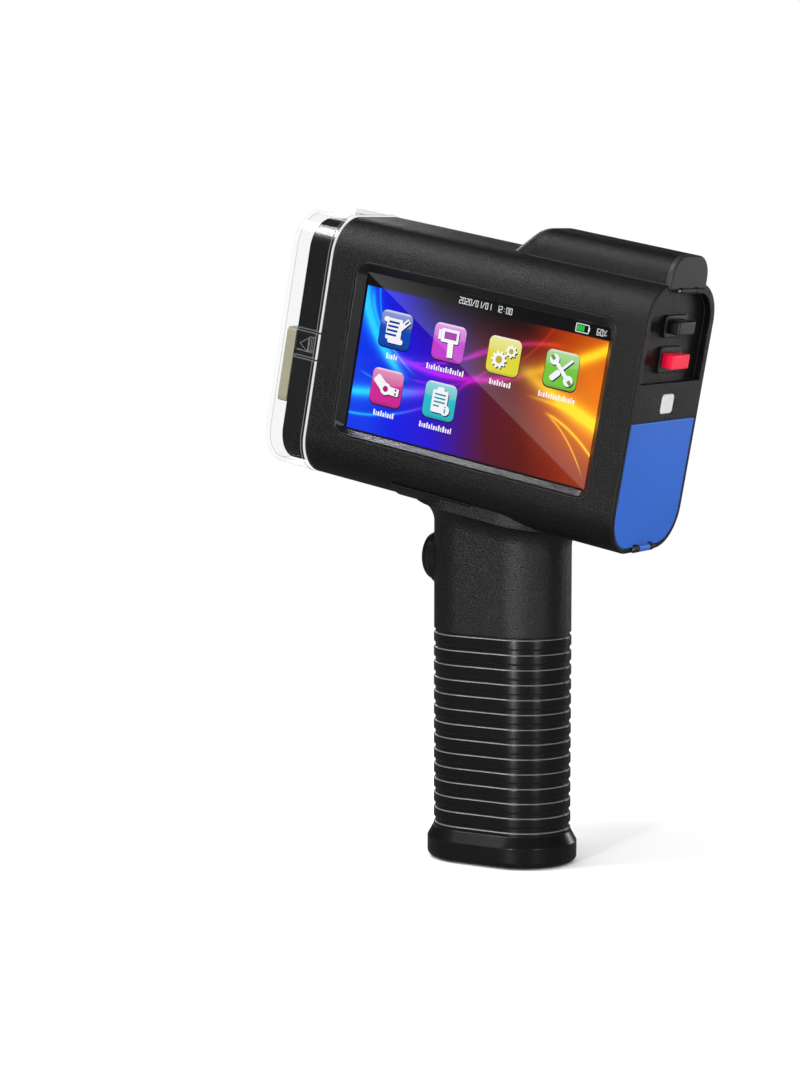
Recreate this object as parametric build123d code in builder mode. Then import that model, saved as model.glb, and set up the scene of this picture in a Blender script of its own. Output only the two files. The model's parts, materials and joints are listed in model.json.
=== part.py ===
"""A handheld inkjet date printer: a tilted head with a touch screen, on an upright ribbed grip.

Millimetres, +Z up. The origin is the centre of the foot's bottom face, with the grip standing
on +Z. The muzzle, where the ink comes out, faces -X; the display faces -Y; the switches and
the battery door face +X.
"""
from build123d import *
import os
from math import cos, radians, sin

os.makedirs("parts", exist_ok=True)

# ---------------------------------------------------------------- driving dimensions
SCREEN_WIDTH = 95.04        # active area of a 4.3 inch display
SCREEN_HEIGHT = 53.86
TILT = 10.5                 # degrees that the muzzle end of the head is raised
HEAD_LENGTH = 123.0
HEAD_DEPTH = 49.0
HEAD_TOP = 43.8             # heights in the head's own frame, measured from the screen centre
HEAD_BOTTOM = -46.5
TOP_RADIUS = 13.0
BOTTOM_RADIUS = 14.0
WALL = 2.2
HUMP_WIDTH = 26.0
HUMP_TOP = 53.5
GRIP_LENGTH = 49.8          # grip section along X
GRIP_DEPTH = 32.0           # grip section along Y
FOOT_LENGTH = 54.0
FOOT_DEPTH = 37.2
RIB_PITCH = 5.1
RIB_HEIGHT = 3.5
RIB_COUNT = 14
RIB_TOP = 78.7              # upper edge of the highest rib
CARTRIDGE_THICKNESS = 24.0
CELL_DIAMETER = 14.0
CELL_LENGTH = 50.0

GAP = 0.1                   # clearance between pieces that slide or drop into each other
RUN = 0.05                  # radial running clearance of pins and shafts
SEAM = 0.18                 # half width of the groove along the line where two shells meet
SEAM_DEPTH = 0.45

# ---------------------------------------------------------------- derived positions
MUZZLE_END = -HEAD_LENGTH / 2
REAR_END = HEAD_LENGTH / 2
HALF_DEPTH = HEAD_DEPTH / 2
INNER_BACK = HALF_DEPTH - WALL
REAR_WALL = REAR_END - 4.5          # inner face of the head's rear wall
POCKET_FLOOR = REAR_END - 2.5       # floor of the switch pocket and of the door recess
CAP_FRONT = MUZZLE_END - 17.2       # front face of the clear cap
FRAME_FRONT = CAP_FRONT + 5.7       # front face of the muzzle frame
FRAME_INSET = 2.4                   # how far the muzzle frame stands inside the casing's outline
HUMP_REAR = REAR_END - 1.5
FOOT_TOP = 11.0

# ---------------------------------------------------------------- the head's tilted frame
HEAD_CENTRE = Vector(1.3, 0, 166.9)
HEAD_X = Vector(cos(radians(TILT)), 0, -sin(radians(TILT)))
HEAD_Z = Vector(sin(radians(TILT)), 0, cos(radians(TILT)))
ACROSS = Vector(0, 1, 0)
HEAD_LONG_AXIS = Axis((0, 0, 0), tuple(HEAD_X))


def head_point(x, y, z):
    """A point given in the head's frame, from the screen centre."""
    return HEAD_CENTRE + HEAD_X * x + ACROSS * y + HEAD_Z * z


def across(x):
    """Plane across the head at station x: its x is +Y, its y is head up, its normal the rear."""
    return Plane(origin=head_point(x, 0, 0), x_dir=ACROSS, z_dir=HEAD_X)


def facing(y):
    """Plane parallel to the display at depth y: its x is head length, its normal is -Y."""
    return Plane(origin=head_point(0, y, 0), x_dir=HEAD_X, z_dir=-ACROSS)


def level(z):
    """Plane parallel to the head's top at height z: its x is head length, its normal head up."""
    return Plane(origin=head_point(0, 0, z), x_dir=HEAD_X, z_dir=HEAD_Z)


# ---------------------------------------------------------------- shared shapes
def slab(plane, centre, size, depth, radius=0.0, mode=Mode.ADD):
    """A rectangle drawn on a plane and extruded along its normal, into the part being built."""
    with BuildSketch(plane) as outline:
        with Locations(centre):
            if radius > 0:
                RectangleRounded(*size, radius)
            else:
                Rectangle(*size)
    extrude(outline.sketch, amount=depth, mode=mode)


def bar(plane, centre, radius, depth, mode=Mode.ADD):
    """A circle drawn on a plane and extruded along its normal, into the part being built."""
    with BuildSketch(plane) as outline:
        with Locations(centre):
            Circle(radius)
    extrude(outline.sketch, amount=depth, mode=mode)


def head_box(x, y, z, radius=0.0, mode=Mode.ADD):
    """A block between pairs of head coordinates, rounded in its length and depth outline."""
    middle = ((x[0] + x[1]) / 2, (y[0] + y[1]) / 2)
    slab(level(z[0]), middle, (x[1] - x[0], y[1] - y[0]), z[1] - z[0], radius, mode)


def casing_section(x, inset=0.0, low=-100.0, high=100.0):
    """The head's rounded cross-section at station x, drawn inset and cut between two heights."""
    with BuildSketch(across(x)) as section:
        with Locations((0, (HEAD_TOP + HEAD_BOTTOM) / 2)):
            Rectangle(HEAD_DEPTH - 2 * inset, HEAD_TOP - HEAD_BOTTOM - 2 * inset)
        fillet(section.vertices().group_by(Axis.Y)[-1], TOP_RADIUS - inset)
        fillet(section.vertices().group_by(Axis.Y)[0], BOTTOM_RADIUS - inset)
        with Locations((0, (low + high) / 2)):
            Rectangle(2 * HEAD_DEPTH, high - low, mode=Mode.INTERSECT)
    return section.sketch


def half(form, side, gap=0.0):
    """The part of a form that lies beyond gap on one side of the Y = 0 seam."""
    keep = Keep.TOP if side < 0 else Keep.BOTTOM
    return split(form, bisect_by=Plane.XZ.offset(-side * gap), keep=keep, mode=Mode.PRIVATE)


def grip_outline(plane, inset=0.0):
    """The grip's round-ended cross-section."""
    with BuildSketch(plane) as outline:
        SlotOverall(GRIP_LENGTH - 2 * inset, GRIP_DEPTH - 2 * inset)
    return outline.sketch


def spring(start, direction, radius, wire, length, turns):
    """An open compression spring that stands on its start point."""
    pitch = (length - 2 * wire) / turns
    first = start + direction * wire
    with BuildPart() as coil:
        with BuildLine():
            path = Helix(pitch, pitch * turns, radius, center=first, direction=direction)
        with BuildSketch(Plane(origin=path @ 0, z_dir=path % 0)):
            Circle(wire)
        sweep(path=path, is_frenet=True)
    return coil.part


# ---------------------------------------------------------------- casing shells of the head
RAMP_FOOT = -0.75           # where the hump's 45 degree ramp leaves the casing top
RAMP_RISE = 6.8
RAMP_ROUND = 10.0
HUMP_ROUND = 8.0


def hump_form(inset):
    """The hump along the casing's top, with its sloping nose and rounded shoulders."""
    top = HUMP_TOP - inset
    foot = RAMP_FOOT + 1.4 * inset
    root = HEAD_TOP - 8
    ramp_end = (foot + RAMP_RISE, HEAD_TOP + RAMP_RISE)
    with BuildPart() as hump:
        with BuildSketch(facing(0)) as side:
            with BuildLine():
                slope = Line((foot - 8, root), ramp_end)
                crest = JernArc(slope @ 1, (1, 1), RAMP_ROUND, -45)
                ridge = Line(crest @ 1, (HUMP_REAR, (crest @ 1).Y))
                Polyline(ridge @ 1, (HUMP_REAR, root), slope @ 0)
            make_face()
        extrude(side.sketch, amount=HUMP_WIDTH / 2 - inset, both=True)
        upper = hump.faces().filter_by(Axis.Y).edges().filter_by(
            lambda edge: (edge @ 0.5 - head_point(0, 0, HEAD_TOP - 6)).dot(HEAD_Z) > 0
            and abs(edge.tangent_at(0.5).dot(HEAD_Z)) < 0.9)
        fillet(upper, HUMP_ROUND - inset)
        lift = HUMP_TOP - (HEAD_TOP + RAMP_RISE + RAMP_ROUND * (1 - cos(radians(45))))
    return hump.part.moved(Location(HEAD_Z * (lift + top - HUMP_TOP)))


def head_form(inset=0.0):
    """Head and hump as one closed solid, with every face moved in by inset."""
    with BuildPart() as form:
        extrude(casing_section(MUZZLE_END + inset, inset), amount=HEAD_LENGTH - 2 * inset)
        ends = form.edges().filter_by(lambda edge: abs(edge.tangent_at(0.5).dot(HEAD_X)) < 0.5)
        chamfer(ends, 0.4)
        add(hump_form(inset))
    return form.part


BUTTON_Z = {"black": 29.7, "red": 18.5}
SWITCH_FRAME = {"black": (15.0, 7.6), "red": (15.0, 8.8)}
SWITCH_NECK = {"black": (13.2, 6.4), "red": (13.4, 7.4)}
SWITCH_CAP = {"black": (11.2, 4.5), "red": (11.4, 4.8)}
RELEASE_Z = 3.9
DOOR_TOP = -1.75
SCREW_SPOTS = [(-52, 38), (52, 38), (-52, -40.8), (-3, -40.8), (52, -41.6)]
BOSS_RADIUS = 2.4
BEZEL_SIZE = (102.4, 60.8)
BEZEL_CENTRE = (0, 0.8)
FLANGE_BACK = -21.0          # back of the bezel's flange, which sits behind the casing wall
FLANGE_SIZE = (107.0, 65.8)
FLANGE_CENTRE = (0, 0.4)
DOOR_HINGE = (REAR_END + 0.2, HEAD_BOTTOM + 1.3)
PORT_HINGE = (REAR_END + 0.6, 42.0)
DOOR_KNUCKLE = 1.3
PORT_KNUCKLE = 0.9
SCREW_HEAD_Y = 16.8
USB_CENTRE = (-3.2, 46.8)
USB_OPENING = (13.3, 5.9)
JACK_CENTRE = (7.0, 46.8)
JACK_RADIUS = 3.0
NECK_HOLE = (7.3, 34.0, 20.0)       # centre along the head, length and depth of the cable opening


def hinge_ear(side, hinge, radius, inner, outer):
    """A hinge ear beside the middle knuckle, joined to the rear wall behind it."""
    start = inner * side
    bar(facing(start), hinge, radius, -side * (outer - inner))
    foot_x = (REAR_END - 1.5, hinge[0])
    depth = (min(start, outer * side), max(start, outer * side))
    head_box(foot_x, depth, (hinge[1] - radius, hinge[1] + 0.1))


def head_shell(side):
    """One half of the casing, split along the seam at Y = 0; side is -1 for the display half."""
    with BuildPart() as shell:
        add(half(head_form(0), side, SEAM))
        add(half(head_form(SEAM_DEPTH), side))
        # the hollow inside, open at the muzzle end
        extrude(casing_section(MUZZLE_END - 1, WALL), amount=REAR_WALL - MUZZLE_END + 1,
                mode=Mode.SUBTRACT)
        slab(across(14), (0, 42.5), (HUMP_WIDTH - 4.4, 17), HUMP_REAR - 2 - 14, 3.5, Mode.SUBTRACT)
        # switch pocket, door recess and the opening behind the door
        extrude(casing_section(POCKET_FLOOR, 3.0, low=10.9, high=41), amount=5,
                mode=Mode.SUBTRACT)
        extrude(casing_section(POCKET_FLOOR, 1.6, high=DOOR_TOP), amount=5, mode=Mode.SUBTRACT)
        extrude(casing_section(REAR_WALL - 1, 3.8, high=DOOR_TOP - 1.8), amount=5,
                mode=Mode.SUBTRACT)
        for name, size in SWITCH_NECK.items():
            opening = (size[0] + 2 * GAP, size[1] + 2 * GAP)
            slab(across(REAR_WALL - 1), (0, BUTTON_Z[name]), opening, 5, 1.0, Mode.SUBTRACT)
        slab(across(REAR_WALL - 1), (0, RELEASE_Z), (8.4, 6.8), 8, 1.5, Mode.SUBTRACT)
        # ports in the hump's rear wall, and the seat of their cover
        slab(across(HUMP_REAR - 4), USB_CENTRE, USB_OPENING, 6, 0.4, Mode.SUBTRACT)
        bar(across(HUMP_REAR - 4), JACK_CENTRE, JACK_RADIUS + GAP, 6, Mode.SUBTRACT)
        slab(across(HUMP_REAR), (0, 48), (HUMP_WIDTH + 0.3, 11.8), 6, mode=Mode.SUBTRACT)
        # the opening down into the grip
        centre, length, depth = NECK_HOLE
        slab(level(HEAD_BOTTOM - 2), (centre, 0), (length, depth), 6, 4, Mode.SUBTRACT)
        # hinge ears for the door and the port cover
        hinge_ear(side, DOOR_HINGE, DOOR_KNUCKLE, 3.9, 6.4)
        hinge_ear(side, PORT_HINGE, PORT_KNUCKLE, 4.3, 6.5)
        for hinge, knuckle, reach in ((DOOR_HINGE, DOOR_KNUCKLE, 3.8),
                                      (PORT_HINGE, PORT_KNUCKLE, 4.2)):
            bar(facing(reach), hinge, knuckle + 0.15, 2 * reach, Mode.SUBTRACT)
            bar(facing(8), hinge, 0.6 + RUN, 16, Mode.SUBTRACT)
        # screw bosses from the wall to the seam
        for spot in SCREW_SPOTS:
            bar(facing(0), spot, BOSS_RADIUS, -side * (INNER_BACK - 4))
        for spot in SCREW_SPOTS:
            if side < 0:
                bar(facing(0), spot, 1.25, 9, Mode.SUBTRACT)
            else:
                bar(facing(0), spot, 1.35, -30, Mode.SUBTRACT)
                bar(facing(SCREW_HEAD_Y), spot, 2.5, -12, Mode.SUBTRACT)
        if side < 0:
            slab(facing(-INNER_BACK + 1), BEZEL_CENTRE, BEZEL_SIZE, 6, 5, Mode.SUBTRACT)
            seat = (FLANGE_SIZE[0] + 2 * GAP, FLANGE_SIZE[1] + 2 * GAP)
            slab(facing(-18), FLANGE_CENTRE, seat, INNER_BACK - 18, 4, Mode.SUBTRACT)
    return shell


head_front_shell = head_shell(-1)
head_front_shell.part.label = "head_front_shell"
export_step(head_front_shell.part, "parts/head_front_shell.step")

head_rear_shell = head_shell(1)
head_rear_shell.part.label = "head_rear_shell"
export_step(head_rear_shell.part, "parts/head_rear_shell.step")

# ---------------------------------------------------------------- grip and foot
SADDLE_START = -26.0        # where the saddle's thin lip starts and ends along the head
SADDLE_END = 6.0
SADDLE_TOP = -42.0
SADDLE_THICKNESS = 0.5
GRIP_WALL = 2.6
TRIGGER_Z = 104.0
TRIGGER_RADIUS = 8.5
COLLAR_RADIUS = 9.9
GRIP_SCREWS = [24.0, 58.0, 88.0]
NECK_TOP = 130.0            # inside the head at every point, so that the head trims it
FLARE_RADIUS = 7.0          # height of the hollow curve between neck and head
FLARE_STEPS = 9
FLARE_FRONT = 7.0           # how far the flare reaches towards the muzzle, to the rear and sideways
FLARE_REAR = 3.0
FLARE_SIDE = 4.6
FLARE_ROOT = 0.12           # how far the flare starts inside the neck
NECK_GAP = 1.4              # height of the groove between the neck and the top rib


def flare_outline(angle):
    """The neck's tilted outline below the head, at an angle from 0 to 90 round the flare's hollow curve."""
    height = HEAD_BOTTOM - FLARE_RADIUS * (1 - sin(radians(angle)))
    grown = 1 - cos(radians(angle))
    axis_x = -head_point(0, 0, height).X / HEAD_X.X
    length = GRIP_LENGTH / HEAD_X.X - 2 * FLARE_ROOT + grown * (FLARE_FRONT + FLARE_REAR)
    with BuildSketch(level(height)) as outline:
        with Locations((axis_x + grown * (FLARE_REAR - FLARE_FRONT) / 2, 0)):
            SlotOverall(length, GRIP_DEPTH + 2 * (grown * FLARE_SIDE - FLARE_ROOT))
    return outline.sketch


def grip_form():
    """The grip as one closed solid: ribbed column, neck flaring into a saddle for the head."""
    with BuildPart() as form:
        extrude(grip_outline(Plane.XY.offset(FOOT_TOP), inset=0.55), amount=RIB_TOP + 4 - FOOT_TOP)
        with BuildPart(mode=Mode.PRIVATE) as rib:
            extrude(grip_outline(Plane.XY), amount=RIB_HEIGHT)
            fillet(rib.edges().group_by(Axis.Z)[-1] + rib.edges().group_by(Axis.Z)[0], 0.5)
        for number in range(RIB_COUNT):
            base = RIB_TOP - RIB_HEIGHT - number * RIB_PITCH
            add(rib.part.moved(Location((0, 0, base))))
        extrude(grip_outline(Plane.XY.offset(RIB_TOP + NECK_GAP), inset=0.05),
                amount=NECK_TOP - RIB_TOP - NECK_GAP)
        for step in range(FLARE_STEPS):
            loft([flare_outline(90 / FLARE_STEPS * step), flare_outline(90 / FLARE_STEPS * (step + 1))])
        extrude(flare_outline(90), amount=SADDLE_TOP + 1 - HEAD_BOTTOM)
        extrude(casing_section(SADDLE_START, -SADDLE_THICKNESS, high=SADDLE_TOP),
                amount=SADDLE_END - SADDLE_START)
        slab(Plane.XY.offset(FOOT_TOP - 20), (0, 0), (90, 60), 20, mode=Mode.SUBTRACT)
        extrude(casing_section(MUZZLE_END - 10, -0.02), amount=2 * HEAD_LENGTH, mode=Mode.SUBTRACT)
    return form.part


def grip_shell(form, side):
    """One half of the hollow grip, with screw bosses across its middle."""
    with BuildPart() as shell:
        add(half(form, side))
        extrude(grip_outline(Plane.XY.offset(FOOT_TOP - 1), GRIP_WALL), amount=115, mode=Mode.SUBTRACT)
        for height in GRIP_SCREWS:
            bar(Plane.XZ, (0, height), 3.4, -side * (GRIP_DEPTH / 2 - 1.5))
            if side < 0:
                bar(Plane.XZ, (0, height), 1.55, 10, Mode.SUBTRACT)
            else:
                bar(Plane.XZ, (0, height), 1.65, -20, Mode.SUBTRACT)
                bar(Plane.XZ.offset(-10.5), (0, height), 3.0, -12, Mode.SUBTRACT)
        # groove along the seam, on the muzzle side below the trigger and up the rear
        for x, top in ((-GRIP_LENGTH / 2, 92.0), (GRIP_LENGTH / 2, 118.0)):
            slab(Plane.XY.offset(FOOT_TOP), (x, 0), (1.3, 2 * SEAM), top - FOOT_TOP, 0, Mode.SUBTRACT)
        # seat of the trigger's collar
        bar(Plane.YZ.offset(-GRIP_LENGTH / 2 - 6), (0, TRIGGER_Z), COLLAR_RADIUS + 0.02, 20, Mode.SUBTRACT)
    return shell


whole_grip = grip_form()
grip_front_shell = grip_shell(whole_grip, -1)
grip_front_shell.part.label = "grip_front_shell"
export_step(grip_front_shell.part, "parts/grip_front_shell.step")

grip_rear_shell = grip_shell(whole_grip, 1)
grip_rear_shell.part.label = "grip_rear_shell"
export_step(grip_rear_shell.part, "parts/grip_rear_shell.step")

FOOT_SIDE_TOP = 7.4
PAD_DROP = 0.4              # how far the rubber pad stands below the foot's rim
with BuildPart() as grip_foot:
    with BuildSketch(Plane.XY.offset(PAD_DROP)):
        SlotOverall(FOOT_LENGTH, FOOT_DEPTH)
    extrude(amount=FOOT_SIDE_TOP - PAD_DROP)
    fillet(grip_foot.edges().group_by(Axis.Z)[0], 2.0)
    with BuildSketch(Plane.XY.offset(FOOT_SIDE_TOP)) as shoulder_low:
        SlotOverall(FOOT_LENGTH, FOOT_DEPTH)
    with BuildSketch(Plane.XY.offset(FOOT_TOP)) as shoulder_high:
        SlotOverall(GRIP_LENGTH + 0.4, GRIP_DEPTH + 0.4)
    loft([shoulder_low.sketch, shoulder_high.sketch])
    extrude(grip_outline(Plane.XY.offset(FOOT_TOP), GRIP_WALL + GAP), amount=6)
    extrude(grip_outline(Plane.XY.offset(FOOT_SIDE_TOP), GRIP_WALL + 2.4), amount=20, mode=Mode.SUBTRACT)
    with BuildSketch(Plane.XY) as pad_recess:
        SlotOverall(FOOT_LENGTH - 8, FOOT_DEPTH - 8)
    extrude(pad_recess.sketch, amount=2.0, mode=Mode.SUBTRACT)
grip_foot.part.label = "grip_foot"
export_step(grip_foot.part, "parts/grip_foot.step")

with BuildPart() as foot_pad:
    with BuildSketch(Plane.XY):
        SlotOverall(FOOT_LENGTH - 8 - 2 * GAP, FOOT_DEPTH - 8 - 2 * GAP)
    extrude(amount=2.0)
foot_pad.part.label = "foot_pad"
export_step(foot_pad.part, "parts/foot_pad.step")

with BuildPart() as grip_screws:
    for height in GRIP_SCREWS:
        bar(Plane.XZ.offset(-10.5), (0, height), 2.8, -2.0)
        bar(Plane.XZ.offset(-10.5), (0, height), 1.5, 18.0)
        with BuildSketch(Plane.XZ.offset(-12.5)) as socket:
            with Locations((0, height)):
                RegularPolygon(1.4, 6)
        extrude(socket.sketch, amount=1.2, mode=Mode.SUBTRACT)
grip_screws.part.label = "grip_screws"
export_step(grip_screws.part, "parts/grip_screws.step")

with BuildPart() as casing_screws:
    for spot in SCREW_SPOTS:
        bar(facing(SCREW_HEAD_Y), spot, 2.3, -1.8)
        bar(facing(SCREW_HEAD_Y), spot, 1.2, SCREW_HEAD_Y + 7)
        with BuildSketch(facing(SCREW_HEAD_Y + 1.8)) as socket:
            with Locations(spot):
                RegularPolygon(1.2, 6)
        extrude(socket.sketch, amount=1.1, mode=Mode.SUBTRACT)
casing_screws.part.label = "casing_screws"
export_step(casing_screws.part, "parts/casing_screws.step")

# ---------------------------------------------------------------- trigger
TRIGGER_FACE = -GRIP_LENGTH / 2 - 3.5
TRIGGER_BACK = -18.0
TRIGGER_TRAVEL = 2.5
SWITCH_FACE = -12.0         # front of the microswitch that the trigger's post presses

with BuildPart() as trigger_collar:
    bar(Plane.YZ.offset(-GRIP_LENGTH / 2 - 0.3), (0, TRIGGER_Z), COLLAR_RADIUS, 9.5)
    chamfer(trigger_collar.edges().group_by(Axis.X)[0], 0.5)
    bar(Plane.YZ.offset(-GRIP_LENGTH / 2 - 1), (0, TRIGGER_Z), TRIGGER_RADIUS + RUN, 20, Mode.SUBTRACT)
trigger_collar.part.label = "trigger_collar"
export_step(trigger_collar.part, "parts/trigger_collar.step")

with BuildPart() as trigger_button:
    bar(Plane.YZ.offset(TRIGGER_FACE), (0, TRIGGER_Z), TRIGGER_RADIUS, TRIGGER_BACK - TRIGGER_FACE)
    fillet(trigger_button.edges().group_by(Axis.X)[0], 2.2)
    bar(Plane.YZ.offset(TRIGGER_BACK), (0, TRIGGER_Z), 2.0, SWITCH_FACE - TRIGGER_TRAVEL - TRIGGER_BACK)
trigger_button.part.label = "trigger_button"
export_step(trigger_button.part, "parts/trigger_button.step")

trigger_spring = BuildPart()
with trigger_spring:
    add(spring(Vector(TRIGGER_BACK, 0, TRIGGER_Z), Vector(1, 0, 0), 3.6, 0.35, SWITCH_FACE - TRIGGER_BACK, 4))
trigger_spring.part.label = "trigger_spring"
export_step(trigger_spring.part, "parts/trigger_spring.step")

with BuildPart() as trigger_microswitch:
    slab(Plane.YZ.offset(SWITCH_FACE), (0, TRIGGER_Z), (25.6, 14), 2, 1)
    slab(Plane.YZ.offset(SWITCH_FACE + 2), (0, TRIGGER_Z), (12, 12), 6)
    for y in (-4, 0, 4):
        slab(Plane.YZ.offset(SWITCH_FACE + 8), (y, TRIGGER_Z), (0.8, 2.0), 3)
trigger_microswitch.part.label = "trigger_microswitch"
export_step(trigger_microswitch.part, "parts/trigger_microswitch.step")

# ---------------------------------------------------------------- display and electronics
GLASS_FRONT = -21.9
GLASS_BACK = -21.3
LCD_FRONT = -21.1
LCD_BACK = -18.1

with BuildPart() as display_bezel:
    slab(facing(-INNER_BACK), BEZEL_CENTRE, (BEZEL_SIZE[0] - 0.16, BEZEL_SIZE[1] - 0.16), WALL, 4.92)
    chamfer(display_bezel.edges().group_by(Axis.Y)[0], 0.3)
    slab(facing(FLANGE_BACK), FLANGE_CENTRE, FLANGE_SIZE, INNER_BACK + FLANGE_BACK, 4)
    with BuildSketch(facing(-HALF_DEPTH)) as mouth:
        with Locations(BEZEL_CENTRE):
            RectangleRounded(BEZEL_SIZE[0] - 1.6, BEZEL_SIZE[1] - 1.6, 4.2)
    with BuildSketch(facing(GLASS_FRONT)) as throat:
        RectangleRounded(SCREEN_WIDTH + 0.8, SCREEN_HEIGHT + 0.8, 1.2)
    loft([mouth.sketch, throat.sketch], mode=Mode.SUBTRACT)
    slab(facing(GLASS_FRONT + 3), (0, 0), (SCREEN_WIDTH + 0.8, SCREEN_HEIGHT + 0.8), 3.1, 1.2, Mode.SUBTRACT)
    slab(facing(GLASS_FRONT + 3), (0, 0.4), (99.4, 58.2), 3, 1.5, Mode.SUBTRACT)
display_bezel.part.label = "display_bezel"
export_step(display_bezel.part, "parts/display_bezel.step")

with BuildPart() as touch_glass:
    slab(facing(GLASS_BACK), (0, 0.4), (99.2, 58.0), GLASS_BACK - GLASS_FRONT, 1.4)
touch_glass.part.label = "touch_glass"
export_step(touch_glass.part, "parts/touch_glass.step")

with BuildPart() as lcd_panel:
    slab(facing(LCD_BACK), (0, 0), (105.5, 67.2), LCD_BACK - FLANGE_BACK, 0.8)
    slab(facing(FLANGE_BACK), (0, 0), (SCREEN_WIDTH, SCREEN_HEIGHT), FLANGE_BACK - LCD_FRONT)
lcd_panel.part.label = "lcd_panel"
export_step(lcd_panel.part, "parts/lcd_panel.step")

BRACKET_BACK = -17.1
BOARD_FRONT = -16.0
BOARD_BACK = -14.6
BOARD_SPOTS = [(-44, -27), (44, -27), (-44, 27), (44, 27)]
with BuildPart() as display_bracket:
    slab(facing(BRACKET_BACK), (0, 0), (105.5, 67.2), LCD_BACK - BRACKET_BACK, 1)
    slab(facing(BRACKET_BACK + 1), (0, 0), (74, 44), 4, 4, Mode.SUBTRACT)
    for spot in BOARD_SPOTS:
        bar(facing(BOARD_FRONT), spot, 2.2, BOARD_FRONT - BRACKET_BACK)
        bar(facing(BOARD_FRONT + 1), spot, 1.05, 5, Mode.SUBTRACT)
display_bracket.part.label = "display_bracket"
export_step(display_bracket.part, "parts/display_bracket.step")

with BuildPart() as mainboard:
    slab(facing(BOARD_BACK), (0, 0), (96, 62), BOARD_BACK - BOARD_FRONT, 2)
    for centre, size in (((-20, 6), (16, 16)), ((4, 8), (12, 14)), ((22, -14), (10, 10)),
                         ((-36, -14), (8, 12))):
        slab(facing(BOARD_BACK + 0.9), centre, size, 0.9)
    for x in range(-36, 40, 8):
        slab(facing(BOARD_BACK + 0.7), (x, -25), (3, 1.6), 0.7)
    for spot in BOARD_SPOTS:
        bar(facing(BOARD_BACK + 5), spot, 1.05, 9, Mode.SUBTRACT)
mainboard.part.label = "mainboard"
export_step(mainboard.part, "parts/mainboard.step")

with BuildPart() as board_screws:
    for spot in BOARD_SPOTS:
        bar(facing(BOARD_BACK + 0.9), spot, 1.9, 0.9)
        bar(facing(BOARD_BACK), spot, 1.0, BOARD_BACK - BRACKET_BACK)
board_screws.part.label = "board_screws"
export_step(board_screws.part, "parts/board_screws.step")

RIBBON = 0.3
with BuildPart() as display_ribbon:
    with BuildSketch(across(-12)) as strip:
        with BuildLine():
            lower = Line((LCD_BACK - 1.4, -33.75), (LCD_BACK - 1.4, -34.4))
            bend = JernArc(lower @ 1, (0, -1), 1.9, 180)
            Line(bend @ 1, ((bend @ 1).X, -31.2))
        trace(line_width=RIBBON)
    extrude(strip.sketch, amount=24)
display_ribbon.part.label = "display_ribbon"
export_step(display_ribbon.part, "parts/display_ribbon.step")

with BuildPart() as buzzer:
    bar(facing(BOARD_BACK + 3.4), (34, 8), 4.5, 3.4)
    bar(facing(BOARD_BACK + 3.5), (34, 8), 0.9, 2, Mode.SUBTRACT)
buzzer.part.label = "buzzer"
export_step(buzzer.part, "parts/buzzer.step")

# ---------------------------------------------------------------- muzzle frame and encoder roller
CARTRIDGE_FRONT = MUZZLE_END - 4.5      # the cartridge's flat front, behind the frame's face
CARTRIDGE_BACK = -2.0
CARTRIDGE_Y = -0.1                      # centre of the cartridge's thickness
CARTRIDGE_LOW = -35.9
CARTRIDGE_HIGH = 34.0
CARTRIDGE_SIDE = (CARTRIDGE_Y - CARTRIDGE_THICKNESS / 2, CARTRIDGE_Y + CARTRIDGE_THICKNESS / 2)
NOZZLE_Z = -10.7
FRAME_PLATE = 1.5
FRAME_WALL = 1.6
ROLLER_RADIUS = 3.5
ROLLER_CENTRE = (FRAME_FRONT + ROLLER_RADIUS - 1.2, 16.6)   # along the head and across it
ROLLER_LOW = -4.0
ROLLER_HIGH = 18.0
SHAFT_RADIUS = 1.0
BUSH_RADIUS = 1.9
LATCH_PIVOT = (-60.5, 37.6)             # along the head and up it
LATCH_HALF_WIDTH = 5.0

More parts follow.
